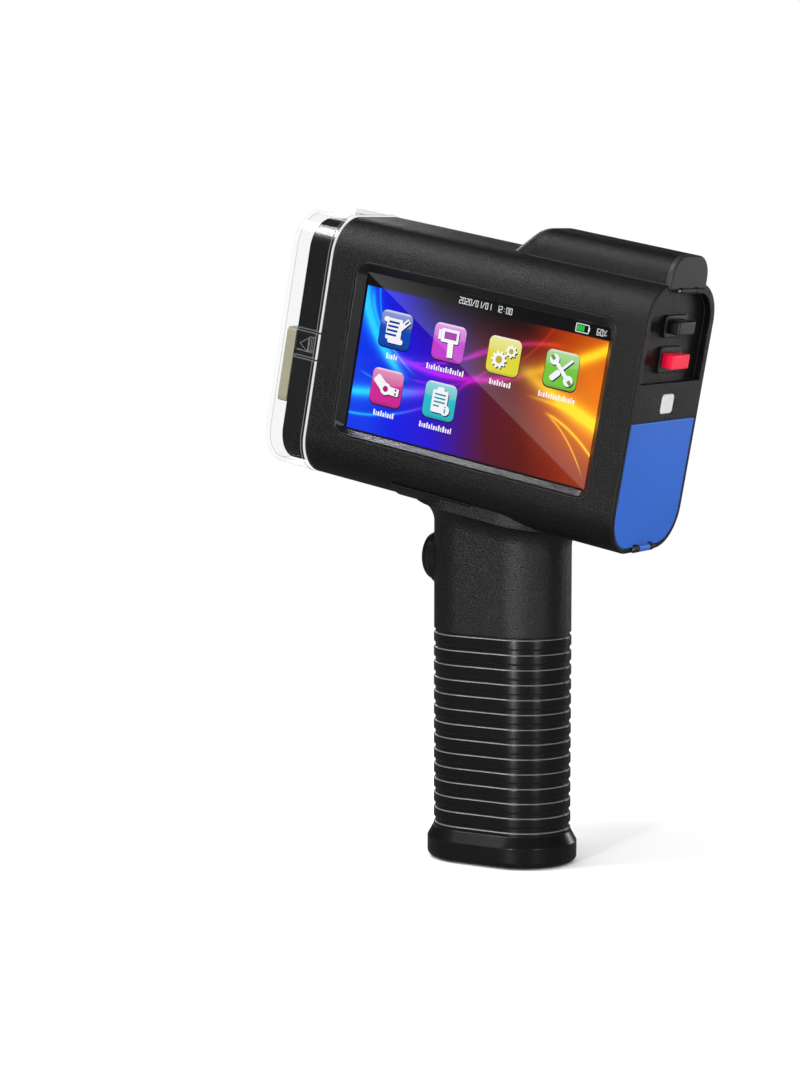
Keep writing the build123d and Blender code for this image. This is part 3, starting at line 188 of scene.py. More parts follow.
class Paint:
    """One procedural material: its node tree and the few kinds of node that it needs."""

    def __init__(self, name):
        self.material = bpy.data.materials.new(name)
        self.material.use_nodes = True
        self.tree = self.material.node_tree
        self.tree.nodes.clear()
        self.output = self.tree.nodes.new("ShaderNodeOutputMaterial")
        self.where = self.tree.nodes.new("ShaderNodeTexCoord").outputs["Object"]

    def node(self, kind, **inputs):
        node = self.tree.nodes.new(kind)
        for name, value in inputs.items():
            self.feed(node.inputs[name.replace("_", " ")], value)
        return node

    def feed(self, socket, value):
        if isinstance(value, Num):
            value = value.socket
        if isinstance(value, bpy.types.NodeSocket):
            self.tree.links.new(value, socket)
        elif isinstance(value, tuple) and len(value) == 3 and len(socket.default_value) == 4:
            socket.default_value = (*value, 1)
        else:
            socket.default_value = value

    def noise(self, size, detail=2.0, rough=0.5, where=None):
        """Noise from 0 to 1 with features of about the given size in metres."""
        node = self.node("ShaderNodeTexNoise", Scale=1 / size, Detail=detail, Roughness=rough)
        self.tree.links.new(where or self.where, node.inputs["Vector"])
        return Num(self.tree, node.outputs[0])

    def cells(self, size, where=None, feature="F1"):
        node = self.node("ShaderNodeTexVoronoi", Scale=1 / size)
        node.feature = feature
        self.tree.links.new(where or self.where, node.inputs["Vector"])
        return Num(self.tree, node.outputs["Distance"])

    def axes(self):
        """World X, Y and Z of the shaded point at rest."""
        node = self.tree.nodes.new("ShaderNodeSeparateXYZ")
        self.tree.links.new(self.where, node.inputs[0])
        return [Num(self.tree, out) for out in node.outputs]

    def along(self, direction, origin):
        """Distance of the shaded point from origin along a direction."""
        total = None
        for number, amount, start in zip(self.axes(), direction, origin):
            part = (number - start) * amount
            total = part if total is None else total + part
        return total

    def total(self, numbers):
        result = numbers[0]
        for number in numbers[1:]:
            result = result + number
        return result

    def ramp(self, number, stops, mode="LINEAR"):
        """A colour ramp; stops are (position, (r, g, b))."""
        node = self.tree.nodes.new("ShaderNodeValToRGB")
        node.color_ramp.interpolation = mode
        points = node.color_ramp.elements
        while len(points) < len(stops):
            points.new(0.5)
        for point, (place, colour) in zip(points, stops):
            point.position = place
            point.color = (*colour, 1)
        self.feed(node.inputs[0], number)
        return node.outputs[0]

    def blend(self, amount, first, second, mode="MIX"):
        node = self.tree.nodes.new("ShaderNodeMix")
        node.data_type = "RGBA"
        node.blend_type = mode
        node.clamp_factor = True
        self.feed(node.inputs[0], amount)
        self.feed(node.inputs[6], first)
        self.feed(node.inputs[7], second)
        return node.outputs[2]

    def bump(self, height, depth, strength=1.0, under=None):
        node = self.node("ShaderNodeBump", Strength=strength, Distance=depth, Height=height)
        if under is not None:
            self.tree.links.new(under, node.inputs["Normal"])
        return node.outputs[0]

    def soft_edge(self, radius):
        """The normal with edges rounded by radius, and how near to an edge the point is."""
        bevel = self.node("ShaderNodeBevel", Radius=radius)
        bevel.samples = 4
        geometry = self.tree.nodes.new("ShaderNodeNewGeometry")
        dot = self.tree.nodes.new("ShaderNodeVectorMath")
        dot.operation = "DOT_PRODUCT"
        self.tree.links.new(bevel.outputs[0], dot.inputs[0])
        self.tree.links.new(geometry.outputs["True Normal"], dot.inputs[1])
        nearness = (1 - Num(self.tree, dot.outputs["Value"])).step(0.02, 0.25)
        return bevel.outputs[0], nearness

    def facing(self, direction, what="Normal"):
        """How far the surface, or the ray that comes in to it, faces a direction, from -1 to 1."""
        geometry = self.tree.nodes.new("ShaderNodeNewGeometry")
        dot = self.tree.nodes.new("ShaderNodeVectorMath")
        dot.operation = "DOT_PRODUCT"
        self.tree.links.new(geometry.outputs[what], dot.inputs[0])
        dot.inputs[1].default_value = direction
        return Num(self.tree, dot.outputs["Value"])

    def ray(self, kind):
        """1 for one kind of ray: Camera, Glossy, Diffuse, Shadow or Transmission."""
        path = self.tree.nodes.new("ShaderNodeLightPath")
        return Num(self.tree, path.outputs["Is %s Ray" % kind])

    def surface(self, shader):
        self.tree.links.new(shader, self.output.inputs["Surface"])
        return self.material

    def mix_shaders(self, amount, first, second):
        mix = self.tree.nodes.new("ShaderNodeMixShader")
        self.feed(mix.inputs[0], amount)
        self.tree.links.new(first.outputs[0], mix.inputs[1])
        self.tree.links.new(second.outputs[0], mix.inputs[2])
        return mix

    def principled(self, **inputs):
        return self.surface(self.node("ShaderNodeBsdfPrincipled", **inputs).outputs[0])


# ------------------------------------------------------------------ materials
def moulded(name, colour, rough, grain=0.0, grain_size=0.45 * MM, edge=0.3 * MM, wear_and_edge_highlight=0.08, gleam=0.5):
    """Moulded plastic: spark-eroded grain, uneven sheen, rounded edges lightened partly as wear from handling and
    partly as a painted edge highlight.
    """
    paint = Paint(name)
    normal, nearness = paint.soft_edge(edge)
    smear = paint.noise(14 * MM, 3, 0.6)
    sheen = paint.noise(55 * MM, 2)
    lighter = tuple(min(1.0, c * 1.35) for c in colour)
    tone = paint.blend(sheen, colour, lighter)
    if grain > 0:
        pits = paint.noise(grain_size, 2, 0.65) + paint.cells(grain_size * 1.6) * 0.5
        normal = paint.bump(pits, grain, 0.9, under=normal)
        speckle = paint.noise(grain_size * 1.2, 1).step(0.50, 0.72)
        tone = paint.blend(speckle, tone, tuple(min(1.0, c + 0.007) for c in colour))
    # edges lightened: partly wear, partly a painted highlight line along every edge
    worn_and_lit_edge = tuple(min(1.0, c + wear_and_edge_highlight) for c in colour)
    tone = paint.blend(nearness * 0.8, tone, worn_and_lit_edge)
    gloss = smear * 0.10 + (rough - 0.05) - nearness * 0.10
    return paint.principled(Base_Color=tone, Roughness=gloss, Normal=normal, Specular_IOR_Level=gleam)


def ribbed_plastic(name, colour, rib_top, foot_top):
    """The grip's plastic: grained on the neck, smoother and glossier on the ribs below rib_top, with a painted
    highlight on the ribs' upward faces and along the edges.
    """
    paint = Paint(name)
    normal, nearness = paint.soft_edge(0.3 * MM)
    height = paint.axes()[2]
    neck = height.step(rib_top - 0.3 * MM, rib_top + 0.3 * MM)
    pits = (paint.noise(0.4 * MM, 2, 0.6) + paint.cells(0.6 * MM) * 0.5) * neck
    streaks = paint.noise(3 * MM, 3, 0.5, where=stretched(paint, (1, 1, 9))) * (1 - neck) * 0.12
    normal = paint.bump(pits + streaks, 0.18 * MM, 0.9, under=normal)
    tone = paint.blend(paint.noise(30 * MM), colour, tuple(c * 1.5 for c in colour))
    speckle = paint.noise(0.5 * MM, 1).step(0.5, 0.72) * neck
    tone = paint.blend(speckle, tone, tuple(c + 0.006 for c in colour))
    ribs = height.step(foot_top, foot_top + 0.5 * MM) * (1 - neck)
    # painted highlight: rib faces that point upwards are lightened, as if lit by the lamp above
    crest_highlight = paint.facing((0, 0, 1)).step(0.30, 0.62) * ribs
    glint = paint.noise(5 * MM, 2) * 0.5 + 0.35
    tone = paint.blend(crest_highlight * glint, tone, (0.24, 0.24, 0.24))
    # edges lightened: partly wear, partly a painted highlight line along every edge
    tone = paint.blend(nearness * 0.6, tone, (0.07, 0.07, 0.07))
    rough = neck * 0.16 + paint.noise(9 * MM) * 0.08 + 0.20
    return paint.principled(Base_Color=tone, Roughness=rough, Normal=normal, IOR=1.5)


def stretched(paint, scale):
    node = paint.tree.nodes.new("ShaderNodeMapping")
    paint.tree.links.new(paint.where, node.inputs["Vector"])
    node.inputs["Scale"].default_value = scale
    return node.outputs[0]


def rubber(name, colour, rough=0.7):
    """Matte rubber with a fine pebble and scattered patches of paler dust."""
    paint = Paint(name)
    pebble = paint.cells(0.6 * MM)
    dust = paint.noise(6 * MM, 4, 0.7).step(0.45, 0.8)
    tone = paint.blend(dust * 0.25, colour, tuple(min(1, c + 0.06) for c in colour))
    normal = paint.bump(pebble, 0.05 * MM, 0.5)
    return paint.principled(Base_Color=tone, Roughness=rough, Normal=normal)


def metal(name, colour, rough, brushed=(1, 1, 0.05)):
    """Machined metal with fine drawn lines and a slight uneven tarnish."""
    paint = Paint(name)
    lines = paint.noise(0.25 * MM, 2, 0.5, where=stretched(paint, brushed))
    stain = paint.noise(5 * MM, 3)
    tone = paint.blend(stain, colour, tuple(c * 0.78 for c in colour))
    normal = paint.bump(lines, 0.01 * MM, 0.5)
    return paint.principled(Base_Color=tone, Metallic=1.0, Roughness=lines * 0.15 + rough, Normal=normal)


def wrapped_cell(name):
    """A battery cell: green shrink wrap round its side, and bare steel on its two ends."""
    paint = Paint(name)
    ends = paint.facing(HEAD_X).math("ABSOLUTE").step(0.85, 0.95)
    tone = paint.blend(ends, (0.02, 0.20, 0.10), (0.62, 0.62, 0.60))
    normal = paint.bump(paint.noise(0.9 * MM, 2), 0.03 * MM, 0.5)
    rough = paint.noise(4 * MM, 3) * 0.12 + 0.26
    return paint.principled(Base_Color=tone, Metallic=ends, Roughness=rough, Normal=normal)


def circuit_board(name):
    """Green solder mask over copper tracks, with pale printed marks."""
    paint = Paint(name)
    tracks = paint.cells(2.2 * MM, feature="DISTANCE_TO_EDGE")
    copper = tracks.math("LESS_THAN", 0.12)
    tone = paint.blend(copper * 0.6, (0.006, 0.09, 0.035), (0.03, 0.22, 0.08))
    tone = paint.blend(paint.noise(3 * MM).step(0.66, 0.7) * 0.7, tone, (0.02, 0.02, 0.02))
    normal = paint.bump(copper, 0.03 * MM, 0.6)
    return paint.principled(Base_Color=tone, Roughness=0.32, Normal=normal)


def clear_plastic(name, tint):
    """Thin clear plastic: seen straight through, with soft reflections, and with grey outlines and a bright rim
    painted in as glowing light.
    """
    paint = Paint(name)
    scratch = paint.noise(1.2 * MM, 2, where=stretched(paint, (1, 1, 0.08))).step(0.66, 0.8)
    normal = paint.bump(paint.noise(12 * MM, 2), 0.05 * MM, 0.3)
    nearness = paint.soft_edge(0.7 * MM)[1]
    weight = paint.node("ShaderNodeLayerWeight", Blend=0.5, Normal=normal)
    facing = Num(paint.tree, weight.outputs["Facing"])
    shine = paint.node("ShaderNodeBsdfGlossy", Roughness=scratch * 0.1 + 0.04, Color=(1, 1, 1), Normal=normal)
    clear = paint.node("ShaderNodeBsdfTransparent", Color=tint)
    # painted light: grey outlines glow along edges and silhouettes, and a white rim glows where the cap meets the
    # casing
    outline = paint.node("ShaderNodeEmission", Color=(0.27, 0.28, 0.29), Strength=1.0)
    painted_rim_glow = paint.node("ShaderNodeEmission", Color=(0.95, 0.96, 0.97), Strength=1.0)
    body = paint.mix_shaders(facing.math("POWER", 4) * 0.12 + 0.015, clear, shine)
    lined = paint.mix_shaders((nearness * 0.9 + facing.step(0.88, 0.98) * 0.7).clamp(), body, outline)
    station = paint.along(HEAD_X, PANEL)
    rim = station.step(RIM_PLACE - 0.55 * MM, RIM_PLACE - 0.45 * MM) * 0.8
    edged = paint.mix_shaders(rim, lined, painted_rim_glow)
    return paint.surface(paint.mix_shaders(paint.ray("Shadow"), edged, clear).outputs[0])


def glare_mask(paint):
    """A pale sheen above the screen's falling diagonal that fades upwards, seen from the main view only."""
    across = paint.along(HEAD_X, PANEL) / SCREEN_W + 0.5
    down = paint.along(-HEAD_Z, PANEL) / SCREEN_H + 0.5
    above = across - down + 0.005
    sheen = above.step(0.0, 0.006) * (1 - above.step(-0.25, 0.72)).math("POWER", 1.6)
    return sheen * paint.facing(VIEW_BACK, "Incoming").step(0.90, 0.97)


def cover_glass(name):
    """Flat display glass: straight through, a clean reflection, faint finger marks and a diagonal glare."""
    paint = Paint(name)
    marks = paint.noise(9 * MM, 4, 0.6).step(0.55, 0.8)
    shine = paint.node("ShaderNodeBsdfGlossy", Roughness=marks * 0.03 + 0.01, Color=(1, 1, 1))
    clear = paint.node("ShaderNodeBsdfTransparent", Color=(0.98, 0.98, 0.99))
    weight = paint.node("ShaderNodeLayerWeight", Blend=0.5)
    mirrored = Num(paint.tree, weight.outputs["Facing"]).math("POWER", 5) * 0.96 + 0.04
    plain = paint.mix_shaders(mirrored, clear, shine)
    glare = paint.node("ShaderNodeEmission", Color=(1, 1, 1), Strength=glare_mask(paint) * GLARE)
    both = paint.tree.nodes.new("ShaderNodeAddShader")
    paint.tree.links.new(plain.outputs[0], both.inputs[0])
    paint.tree.links.new(glare.outputs[0], both.inputs[1])
    return paint.surface(both.outputs[0])


def lit(paint, colour, strength=1.0):
    """A self-lit display colour with a dark, slightly glossy sheet under it."""
    return paint.principled(Base_Color=(0.002, 0.002, 0.002), Roughness=0.4, Specular_IOR_Level=0.02,
                            Emission_Color=colour, Emission_Strength=strength)


def ribbon(along, over, start, end, sag, width, power):
    """A band of light between two points, bowed by sag; along and over are the picture's two axes."""
    share = (along - start[0]) / (end[0] - start[0])
    line = share * (end[1] - start[1]) + share * (1 - share) * (4 * sag) + start[1]
    ends = share.step(-0.06, 0.14) * (1 - share.step(0.82, 1.06))
    return (over - line).glow(width) * ends * power


COOL_BANDS = [((0.02, -0.02), (0.60, 0.20), -0.045, 0.022, 1.3), ((0.10, 0.03), (0.56, 0.24), -0.05, 0.006, 0.5),
              ((0.02, 0.05), (0.50, 0.15), -0.02, 0.003, 0.4)]
COOL_LINES = [((-0.04, 0.77), (0.42, 0.60), 0.02, 0.028, 1.1), ((-0.05, 0.90), (0.44, 0.61), 0.085, 0.007, 0.7),
              ((0.02, 0.62), (0.30, 0.66), 0.03, 0.006, 0.3)]
PINK_LINES = [((0.14, 0.47), (0.70, 0.40), 0.085, 0.018, 1.1), ((0.15, 0.51), (0.58, 0.27), 0.055, 0.008, 0.6),
              ((0.44, 0.39), (0.84, 0.17), -0.05, 0.014, 0.7), ((0.42, 0.62), (0.66, 0.30), -0.02, 0.012, 0.5),
              ((0.24, 0.60), (0.52, 0.50), 0.03, 0.006, 0.4)]
WARM_LINES = [((0.60, 0.43), (1.08, 0.04), 0.05, 0.035, 1.2), ((0.66, 0.35), (1.10, 0.66), 0.02, 0.045, 1.5),
              ((0.80, 0.60), (1.03, 0.84), -0.04, 0.008, 1.0), ((0.82, 0.62), (0.98, 0.92), -0.04, 0.006, 0.8),
              ((0.72, 0.52), (1.06, 0.62), -0.02, 0.010, 0.7)]


def screen_picture(name):
    """The display's wallpaper: blue to violet to red to amber, crossed by curved ribbons of light."""
    paint = Paint(name)
    across = paint.along(HEAD_X, PANEL) / SCREEN_W + 0.5
    down = paint.along(-HEAD_Z, PANEL) / SCREEN_H + 0.5
    cloud = paint.noise(22 * MM, 2) - 0.5
    lean = across + (down - 0.5) * -0.16 + cloud * 0.10
    base = paint.ramp(lean, [(0.0, (0.0, 0.04, 0.90)), (0.12, (0.0, 0.008, 0.85)), (0.30, (0.02, 0.0, 0.66)),
                             (0.43, (0.05, 0.0, 0.25)), (0.53, (0.10, 0.0, 0.03)), (0.66, (0.13, 0.0, 0.003)),
                             (0.80, (0.36, 0.01, 0.0)), (1.0, (0.62, 0.07, 0.0))])
    night = (1 - down.step(0.06, 0.42)) * across.step(0.10, 0.32) * (1 - across.step(0.66, 0.86))
    base = paint.blend(night * 0.96, base, (0.003, 0.001, 0.004))
    low = down.step(0.55, 1.0) * across.step(0.35, 0.6) * 0.45
    base = paint.blend(low, base, (0.10, 0.006, 0.0))
    warm_glow = ((across - 1.02) * (across - 1.02) + (down - 0.5) * (down - 0.5) * 0.5).glow(0.05)
    colour = paint.blend(warm_glow * 0.4, base, (0.9, 0.35, 0.0), "ADD")
    cool = paint.total([ribbon(down, across, *band) for band in COOL_BANDS])
    cool = cool + paint.total([ribbon(across, down, *line) for line in COOL_LINES]) * (
        1 - across.step(0.02, 0.34))
    colour = paint.blend(cool, colour, (0.02, 0.70, 0.95), "ADD")
    pink = paint.total([ribbon(across, down, *line) for line in PINK_LINES])
    far_cool = paint.total([ribbon(across, down, *line) for line in COOL_LINES]) * across.step(0.1, 0.34)
    tint = paint.ramp(across, [(0.1, (0.10, 0.05, 0.9)), (0.35, (0.55, 0.01, 0.75)), (0.62, (0.55, 0.0, 0.25)),
                               (0.8, (0.7, 0.05, 0.0))])
    colour = paint.blend(pink + far_cool * 0.5, colour, tint, "ADD")
    warm = paint.total([ribbon(across, down, *line) for line in WARM_LINES]) * across.step(0.6, 0.95)
    colour = paint.blend(warm, colour, (1.0, 0.72, 0.02), "ADD")
    rust = ribbon(down, across, (0.05, 0.79), (0.34, 0.66), 0.01, 0.004, 0.5)
    colour = paint.blend(rust, colour, (0.6, 0.02, 0.0), "ADD")
    colour = paint.blend(down.step(0.074, 0.080), (0.002, 0.002, 0.003), colour)
    colour = paint.blend(edge_mask(paint, across, down), (0.002, 0.002, 0.003), colour)
    return lit(paint, colour)


def edge_mask(paint, across, down):
    """1 on the lit area and 0 on the panel's frame."""
    width = (across - 0.5).math("ABSOLUTE").math("LESS_THAN", 0.5)
    return width * (down - 0.5).math("ABSOLUTE").math("LESS_THAN", 0.5)


def icon_face(name, colour, place, half):
    """An icon tile's lit face: paler near the top, with a curved shine and a pale upper rim."""
    paint = Paint(name)
    up = paint.along(HEAD_Z, place) / half
    side = paint.along(HEAD_X, place) / half
    pale = tuple(c + (1 - c) * 0.30 for c in colour)
    tone = paint.blend(up.step(-0.1, 1.1) * 0.8, tuple(c * 0.85 for c in colour), pale)
    shine = (up - side * side * 0.15).step(0.10, 0.16) * 0.10
    tone = paint.blend(shine, tone, (1, 1, 1))
    tone = paint.blend(up.step(0.84, 0.97) * 0.6, tone, (1, 1, 1))
    foot = (1 - up.step(-1.0, -0.78)) * 0.5
    tone = paint.blend(foot, tone, tuple(c * 0.35 for c in colour))
    return lit(paint, tone)


def flat_light(name, colour, strength=1.0):
    """A lit mark on the display, very slightly mottled as pixels are."""
    paint = Paint(name)
    tone = paint.blend(paint.noise(0.4 * MM) * 0.2, colour, tuple(c * 0.7 for c in colour))
    return lit(paint, tone, strength)


RIB_TOP = 0.3535 * HEIGHT               # top of the ribbed part of the grip
FOOT_TOP = 0.0505 * HEIGHT              # where the ribs end above the foot


def cad_finishes():
    """Slot name to material, for every slot in the record."""
    return {
        "casing_plastic": moulded("casing_plastic", (0.0022, 0.0022, 0.0024), 0.42, 0.17 * MM,
                                  0.34 * MM, edge=0.5 * MM, wear_and_edge_highlight=0.06, gleam=0.33),
        "grip_plastic": ribbed_plastic("grip_plastic", (0.0026, 0.0026, 0.0028), RIB_TOP, FOOT_TOP),
        "gloss_black": moulded("gloss_black", (0.004, 0.004, 0.0045), 0.30, 0.0, edge=0.35 * MM, wear_and_edge_highlight=0.09),
        "clear_plastic": clear_plastic("clear_plastic", (0.996, 0.997, 0.997)),
        "screen_glass": cover_glass("screen_glass"),
        "screen_image": screen_picture("screen_image"),
        "blue_plastic": moulded("blue_plastic", (0.008, 0.085, 0.42), 0.38, 0.0, wear_and_edge_highlight=0.10),
        "red_plastic": moulded("red_plastic", (0.70, 0.003, 0.035), 0.28, 0.0, wear_and_edge_highlight=0.16),
        "grey_plastic": moulded("grey_plastic", (0.52, 0.52, 0.52), 0.35, 0.01 * MM, wear_and_edge_highlight=0.12),
        "seal_rubber": rubber("seal_rubber", (0.22, 0.21, 0.14), 0.55),
        "black_rubber": rubber("black_rubber", (0.010, 0.010, 0.011)),
        "steel": metal("steel", (0.55, 0.56, 0.58), 0.28),
        "spring_steel": metal("spring_steel", (0.45, 0.45, 0.47), 0.22),
        "screw_black": metal("screw_black", (0.03, 0.03, 0.032), 0.38),
        "circuit_board": circuit_board("circuit_board"),
        "copper_flex": metal("copper_flex", (0.62, 0.30, 0.10), 0.35, (1, 0.05, 1)),
        "brass": metal("brass", (0.70, 0.50, 0.20), 0.25),
        "cell_wrap": wrapped_cell("cell_wrap"),
        "ink_film": moulded("ink_film", (0.05, 0.05, 0.055), 0.35, 0.03 * MM, 2.5 * MM),
        "cartridge_plastic": moulded("cartridge_plastic", (0.008, 0.008, 0.009), 0.30, 0.02 * MM),
    }


FINISHES = cad_finishes()
SATIN = moulded("satin_black", (0.016, 0.016, 0.016), 0.5, 0.0, edge=0.4 * MM, wear_and_edge_highlight=0.06)
SPECIAL = {"port_cover": SATIN}         # pieces whose finish differs from the rest of their slot
for entry in frame["record"]["subparts"]:
    piece = frame["nodes"][entry["node"]]
    piece.data.materials.clear()
    piece.data.materials.append(SPECIAL.get(entry["node"], FINISHES[entry["material_slot"]]))


# ------------------------------------------------------------------ springs
def working_spring(node, press, body="casing"):
    """A fixed copy of a CAD spring, riding on a body in place of the hidden original; it does not shorten as its
    button goes in.
    """
    found = joint(press)
    stroke = Vector(found["axis"]).normalized()
    source = frame["nodes"][node]
    spring = source.copy()
    spring.data = source.data.copy()
    spring.name = node + "_coil"
    spring.parent = None
    spring.matrix_world = source.matrix_world
    scene.collection.objects.link(spring)
    reach = [(spring.matrix_world @ vertex.co).dot(stroke) for vertex in spring.data.vertices]
    length = max(reach) - min(reach)
    far_end = middle(node) + stroke * (max(reach) - middle(node).dot(stroke))
    travel = max(found["range_m"])
    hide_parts(node)
    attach(spring, body)
    1 - (travel + 0.1 * MM) / length
    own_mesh(spring)


working_spring("trigger_spring", "trigger_press")
working_spring("black_button_spring", "black_switch_press")
working_spring("red_button_spring", "red_switch_press")
working_spring("release_spring", "release_press")


# ------------------------------------------------------------------ mesh helpers
def mesh_object(name, build, material, body="casing"):
    """A new piece made by build(bmesh), riding on a body."""
    form = bmesh.new()
    build(form)
    bmesh.ops.recalc_face_normals(form, faces=form.faces)
    mesh = bpy.data.meshes.new(name)
    form.to_mesh(mesh)
    form.free()
    mesh.materials.append(material)
    piece = bpy.data.objects.new(name, mesh)
    scene.collection.objects.link(piece)
    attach(piece, body)
    return piece


def sheet(form, outline, place, thick):
    """Adds a thin plate whose outline is a list of (x, z) points in metres around a point."""
    low, high = [], []
    for x, z in outline:
        base = place + HEAD_X * x + HEAD_Z * z
        low.append(form.verts.new(base))
        high.append(form.verts.new(base - HEAD_Y * thick))
    form.faces.new(low)
    form.faces.new(high)
    for k in range(len(outline)):
        n = (k + 1) % len(outline)
        form.faces.new((low[k], low[n], high[n], high[k]))


def round_rect(width, height, radius, steps=6):
    """Outline of a rounded rectangle about the origin."""
    points = []
    for quarter in range(4):
        turn = quarter * pi / 2
        cx = (width / 2 - radius) * (1 if quarter in (0, 3) else -1)
        cz = (height / 2 - radius) * (1 if quarter in (0, 1) else -1)
        for k in range(steps + 1):
            angle = turn + k * pi / 2 / steps
            points.append((cx + radius * cos(angle), cz + radius * sin(angle)))
    return points


def disc(radius, steps=20):
    return [(radius * cos(2 * pi * k / steps), radius * sin(2 * pi * k / steps)) for k in range(steps)]


def moved(points, x=0.0, z=0.0, turn=0.0):
    c, s = cos(turn), sin(turn)
    return [(px * c - pz * s + x, px * s + pz * c + z) for px, pz in points]


def bar(width, height):
    return [(-width / 2, -height / 2), (width / 2, -height / 2), (width / 2, height / 2),
            (-width / 2, height / 2)]


# ------------------------------------------------------------------ the display's icons
TILE = 0.132 * SCREEN_W                 # side of an icon tile
UNIT = TILE / 13.0                      # icon drawings are 13 units wide and high
TILE_THICK = 0.06 * MM
WHITE = flat_light("screen_white", (0.95, 0.95, 0.97), 1.1)
SHADOW = flat_light("screen_shadow", (0.01, 0.01, 0.03), 0.4)


def gear(teeth, radius, x, z):
    """Outline of a toothed wheel."""
    points = []
    for k in range(teeth * 4):
        reach = radius if k % 4 in (0, 1) else radius * 0.76
        angle = 2 * pi * (k - 0.5) / (teeth * 4)
        points.append((x + reach * cos(angle), z + reach * sin(angle)))
    return points


def page_sign():
    """A scroll with lines, and a pencil across it."""
    white = [moved(round_rect(6.4, 7.6, 0.5, 3), -0.7, 0.2), moved(round_rect(6.4, 1.9, 0.9, 4), 0.4, -3.9),
             moved(round_rect(2.4, 1.9, 0.9, 4), -4.1, 3.3), moved(bar(1.9, 5.4), 3.3, 2.3, -0.78),
             moved([(-0.95, 0), (0.95, 0), (0, -1.7)], 1.4, 0.4, -0.78)]
    cut = [moved(bar(4.4, 0.75), -0.9 - 0.25 * k, 2.6 - 1.5 * k) for k in range(4)]
    return white, cut + [moved(bar(0.6, 2.0), 4.3, 3.3, -0.78)]


def printer_sign():
    """A small head with a screen, on a handle."""
    white = [moved(round_rect(7.2, 4.8, 0.5, 3), 0.1, 2.4), moved(bar(2.3, 5.4), 0.9, -2.4, 0.06),
             moved(bar(1.0, 3.4), -4.1, 2.4)]
    return white, [moved(bar(5.0, 2.6), 0.3, 2.5)]


def gears_sign():
    white = [gear(10, 3.1, -1.7, -1.5), gear(8, 2.3, 2.7, 2.2)]
    return white, [moved(disc(1.35), -1.7, -1.5), moved(disc(0.95), 2.7, 2.2)]


def tools_sign():
    """A spanner crossed with a screwdriver."""
    white = [moved(bar(1.4, 8.4), 0, 0, 0.78), moved(disc(1.9), -3.2, 3.2), moved(disc(1.9), 3.2, -3.2),
             moved(round_rect(2.1, 4.6, 0.8, 3), -2.2, -2.2, -0.78), moved(bar(0.9, 6.4), 1.7, 1.8, -0.78)]
    return white, [moved(bar(1.3, 1.9), -3.8, 3.8, 0.78), moved(bar(1.3, 1.9), 3.8, -3.8, 0.78)]


def stick_sign():
    """A memory stick with its cap swung open."""
    white = [moved(round_rect(3.4, 5.0, 0.7, 3), -3.0, 1.6, 0.85), moved(disc(2.2), -0.4, -0.5),
             moved(round_rect(4.6, 2.8, 0.4, 3), 2.9, -0.9, -0.05)]
    return white, [moved(disc(1.1), -0.4, -0.5), moved(bar(0.7, 0.9), 3.9, -0.2), moved(bar(0.7, 0.9), 3.9, -1.6)]


def clipboard_sign():
    white = [moved(round_rect(6.4, 8.0, 0.7, 3), 0, -0.2), moved(round_rect(2.8, 1.6, 0.5, 3), 0, 4.2),
             moved(disc(1.9), 2.6, -2.8)]
    cut = [moved(bar(4.6, 0.6), 0, 2.3 - 1.35 * k) for k in range(3)] + [moved(bar(2.4, 0.6), -1.2, -1.8)]
    return white, cut + [moved(bar(0.6, 1.5), 2.6, -3.1), moved(bar(0.6, 0.5), 2.6, -1.7)]


ICONS = [                               # name, place across and down, colour, caption width, drawing
    ("edit", 0.144, 0.317, (0.0, 0.08, 0.60), 0.045, page_sign),
    ("device", 0.371, 0.317, (0.72, 0.06, 0.80), 0.155, printer_sign),
    ("settings", 0.600, 0.317, (0.95, 0.86, 0.02), 0.083, gears_sign),
    ("service", 0.835, 0.317, (0.22, 0.72, 0.05), 0.150, tools_sign),
    ("memory", 0.144, 0.690, (0.80, 0.02, 0.36), 0.080, stick_sign),
    ("report", 0.371, 0.690, (0.02, 0.62, 0.72), 0.138, clipboard_sign),
]


def add_plates(form, shapes, place, thick, shift=(0, 0)):
    """Adds drawings given in icon units, each a hair above the one before."""
    for k, shape in enumerate(shapes):
        outline = [((x + shift[0]) * UNIT, (z + shift[1]) * UNIT) for x, z in shape]
        sheet(form, outline, place - HEAD_Y * (0.002 * MM * k), thick)


def add_caption(name, across, down, width):
    """A line of small blocks under a tile, in place of words."""
    def blocks(form):
        reach = -width / 2
        step = 0
        while reach < width / 2:
            wide = (0.0062, 0.0040, 0.0075, 0.0055)[step % 4]
            tall = (1.0, 0.72, 0.72, 1.0, 0.72)[step % 5] * 0.036 * SCREEN_H
            place = screen_place(across + reach + wide / 2, down + 0.172, 0.02 * MM)
            sheet(form, moved(bar(wide * SCREEN_W, tall), 0, tall / 2 - 0.016 * SCREEN_H), place, 0.02 * MM)
            reach += wide + 0.0042
            step += 1
    mesh_object("icon_caption_" + name, blocks, WHITE)


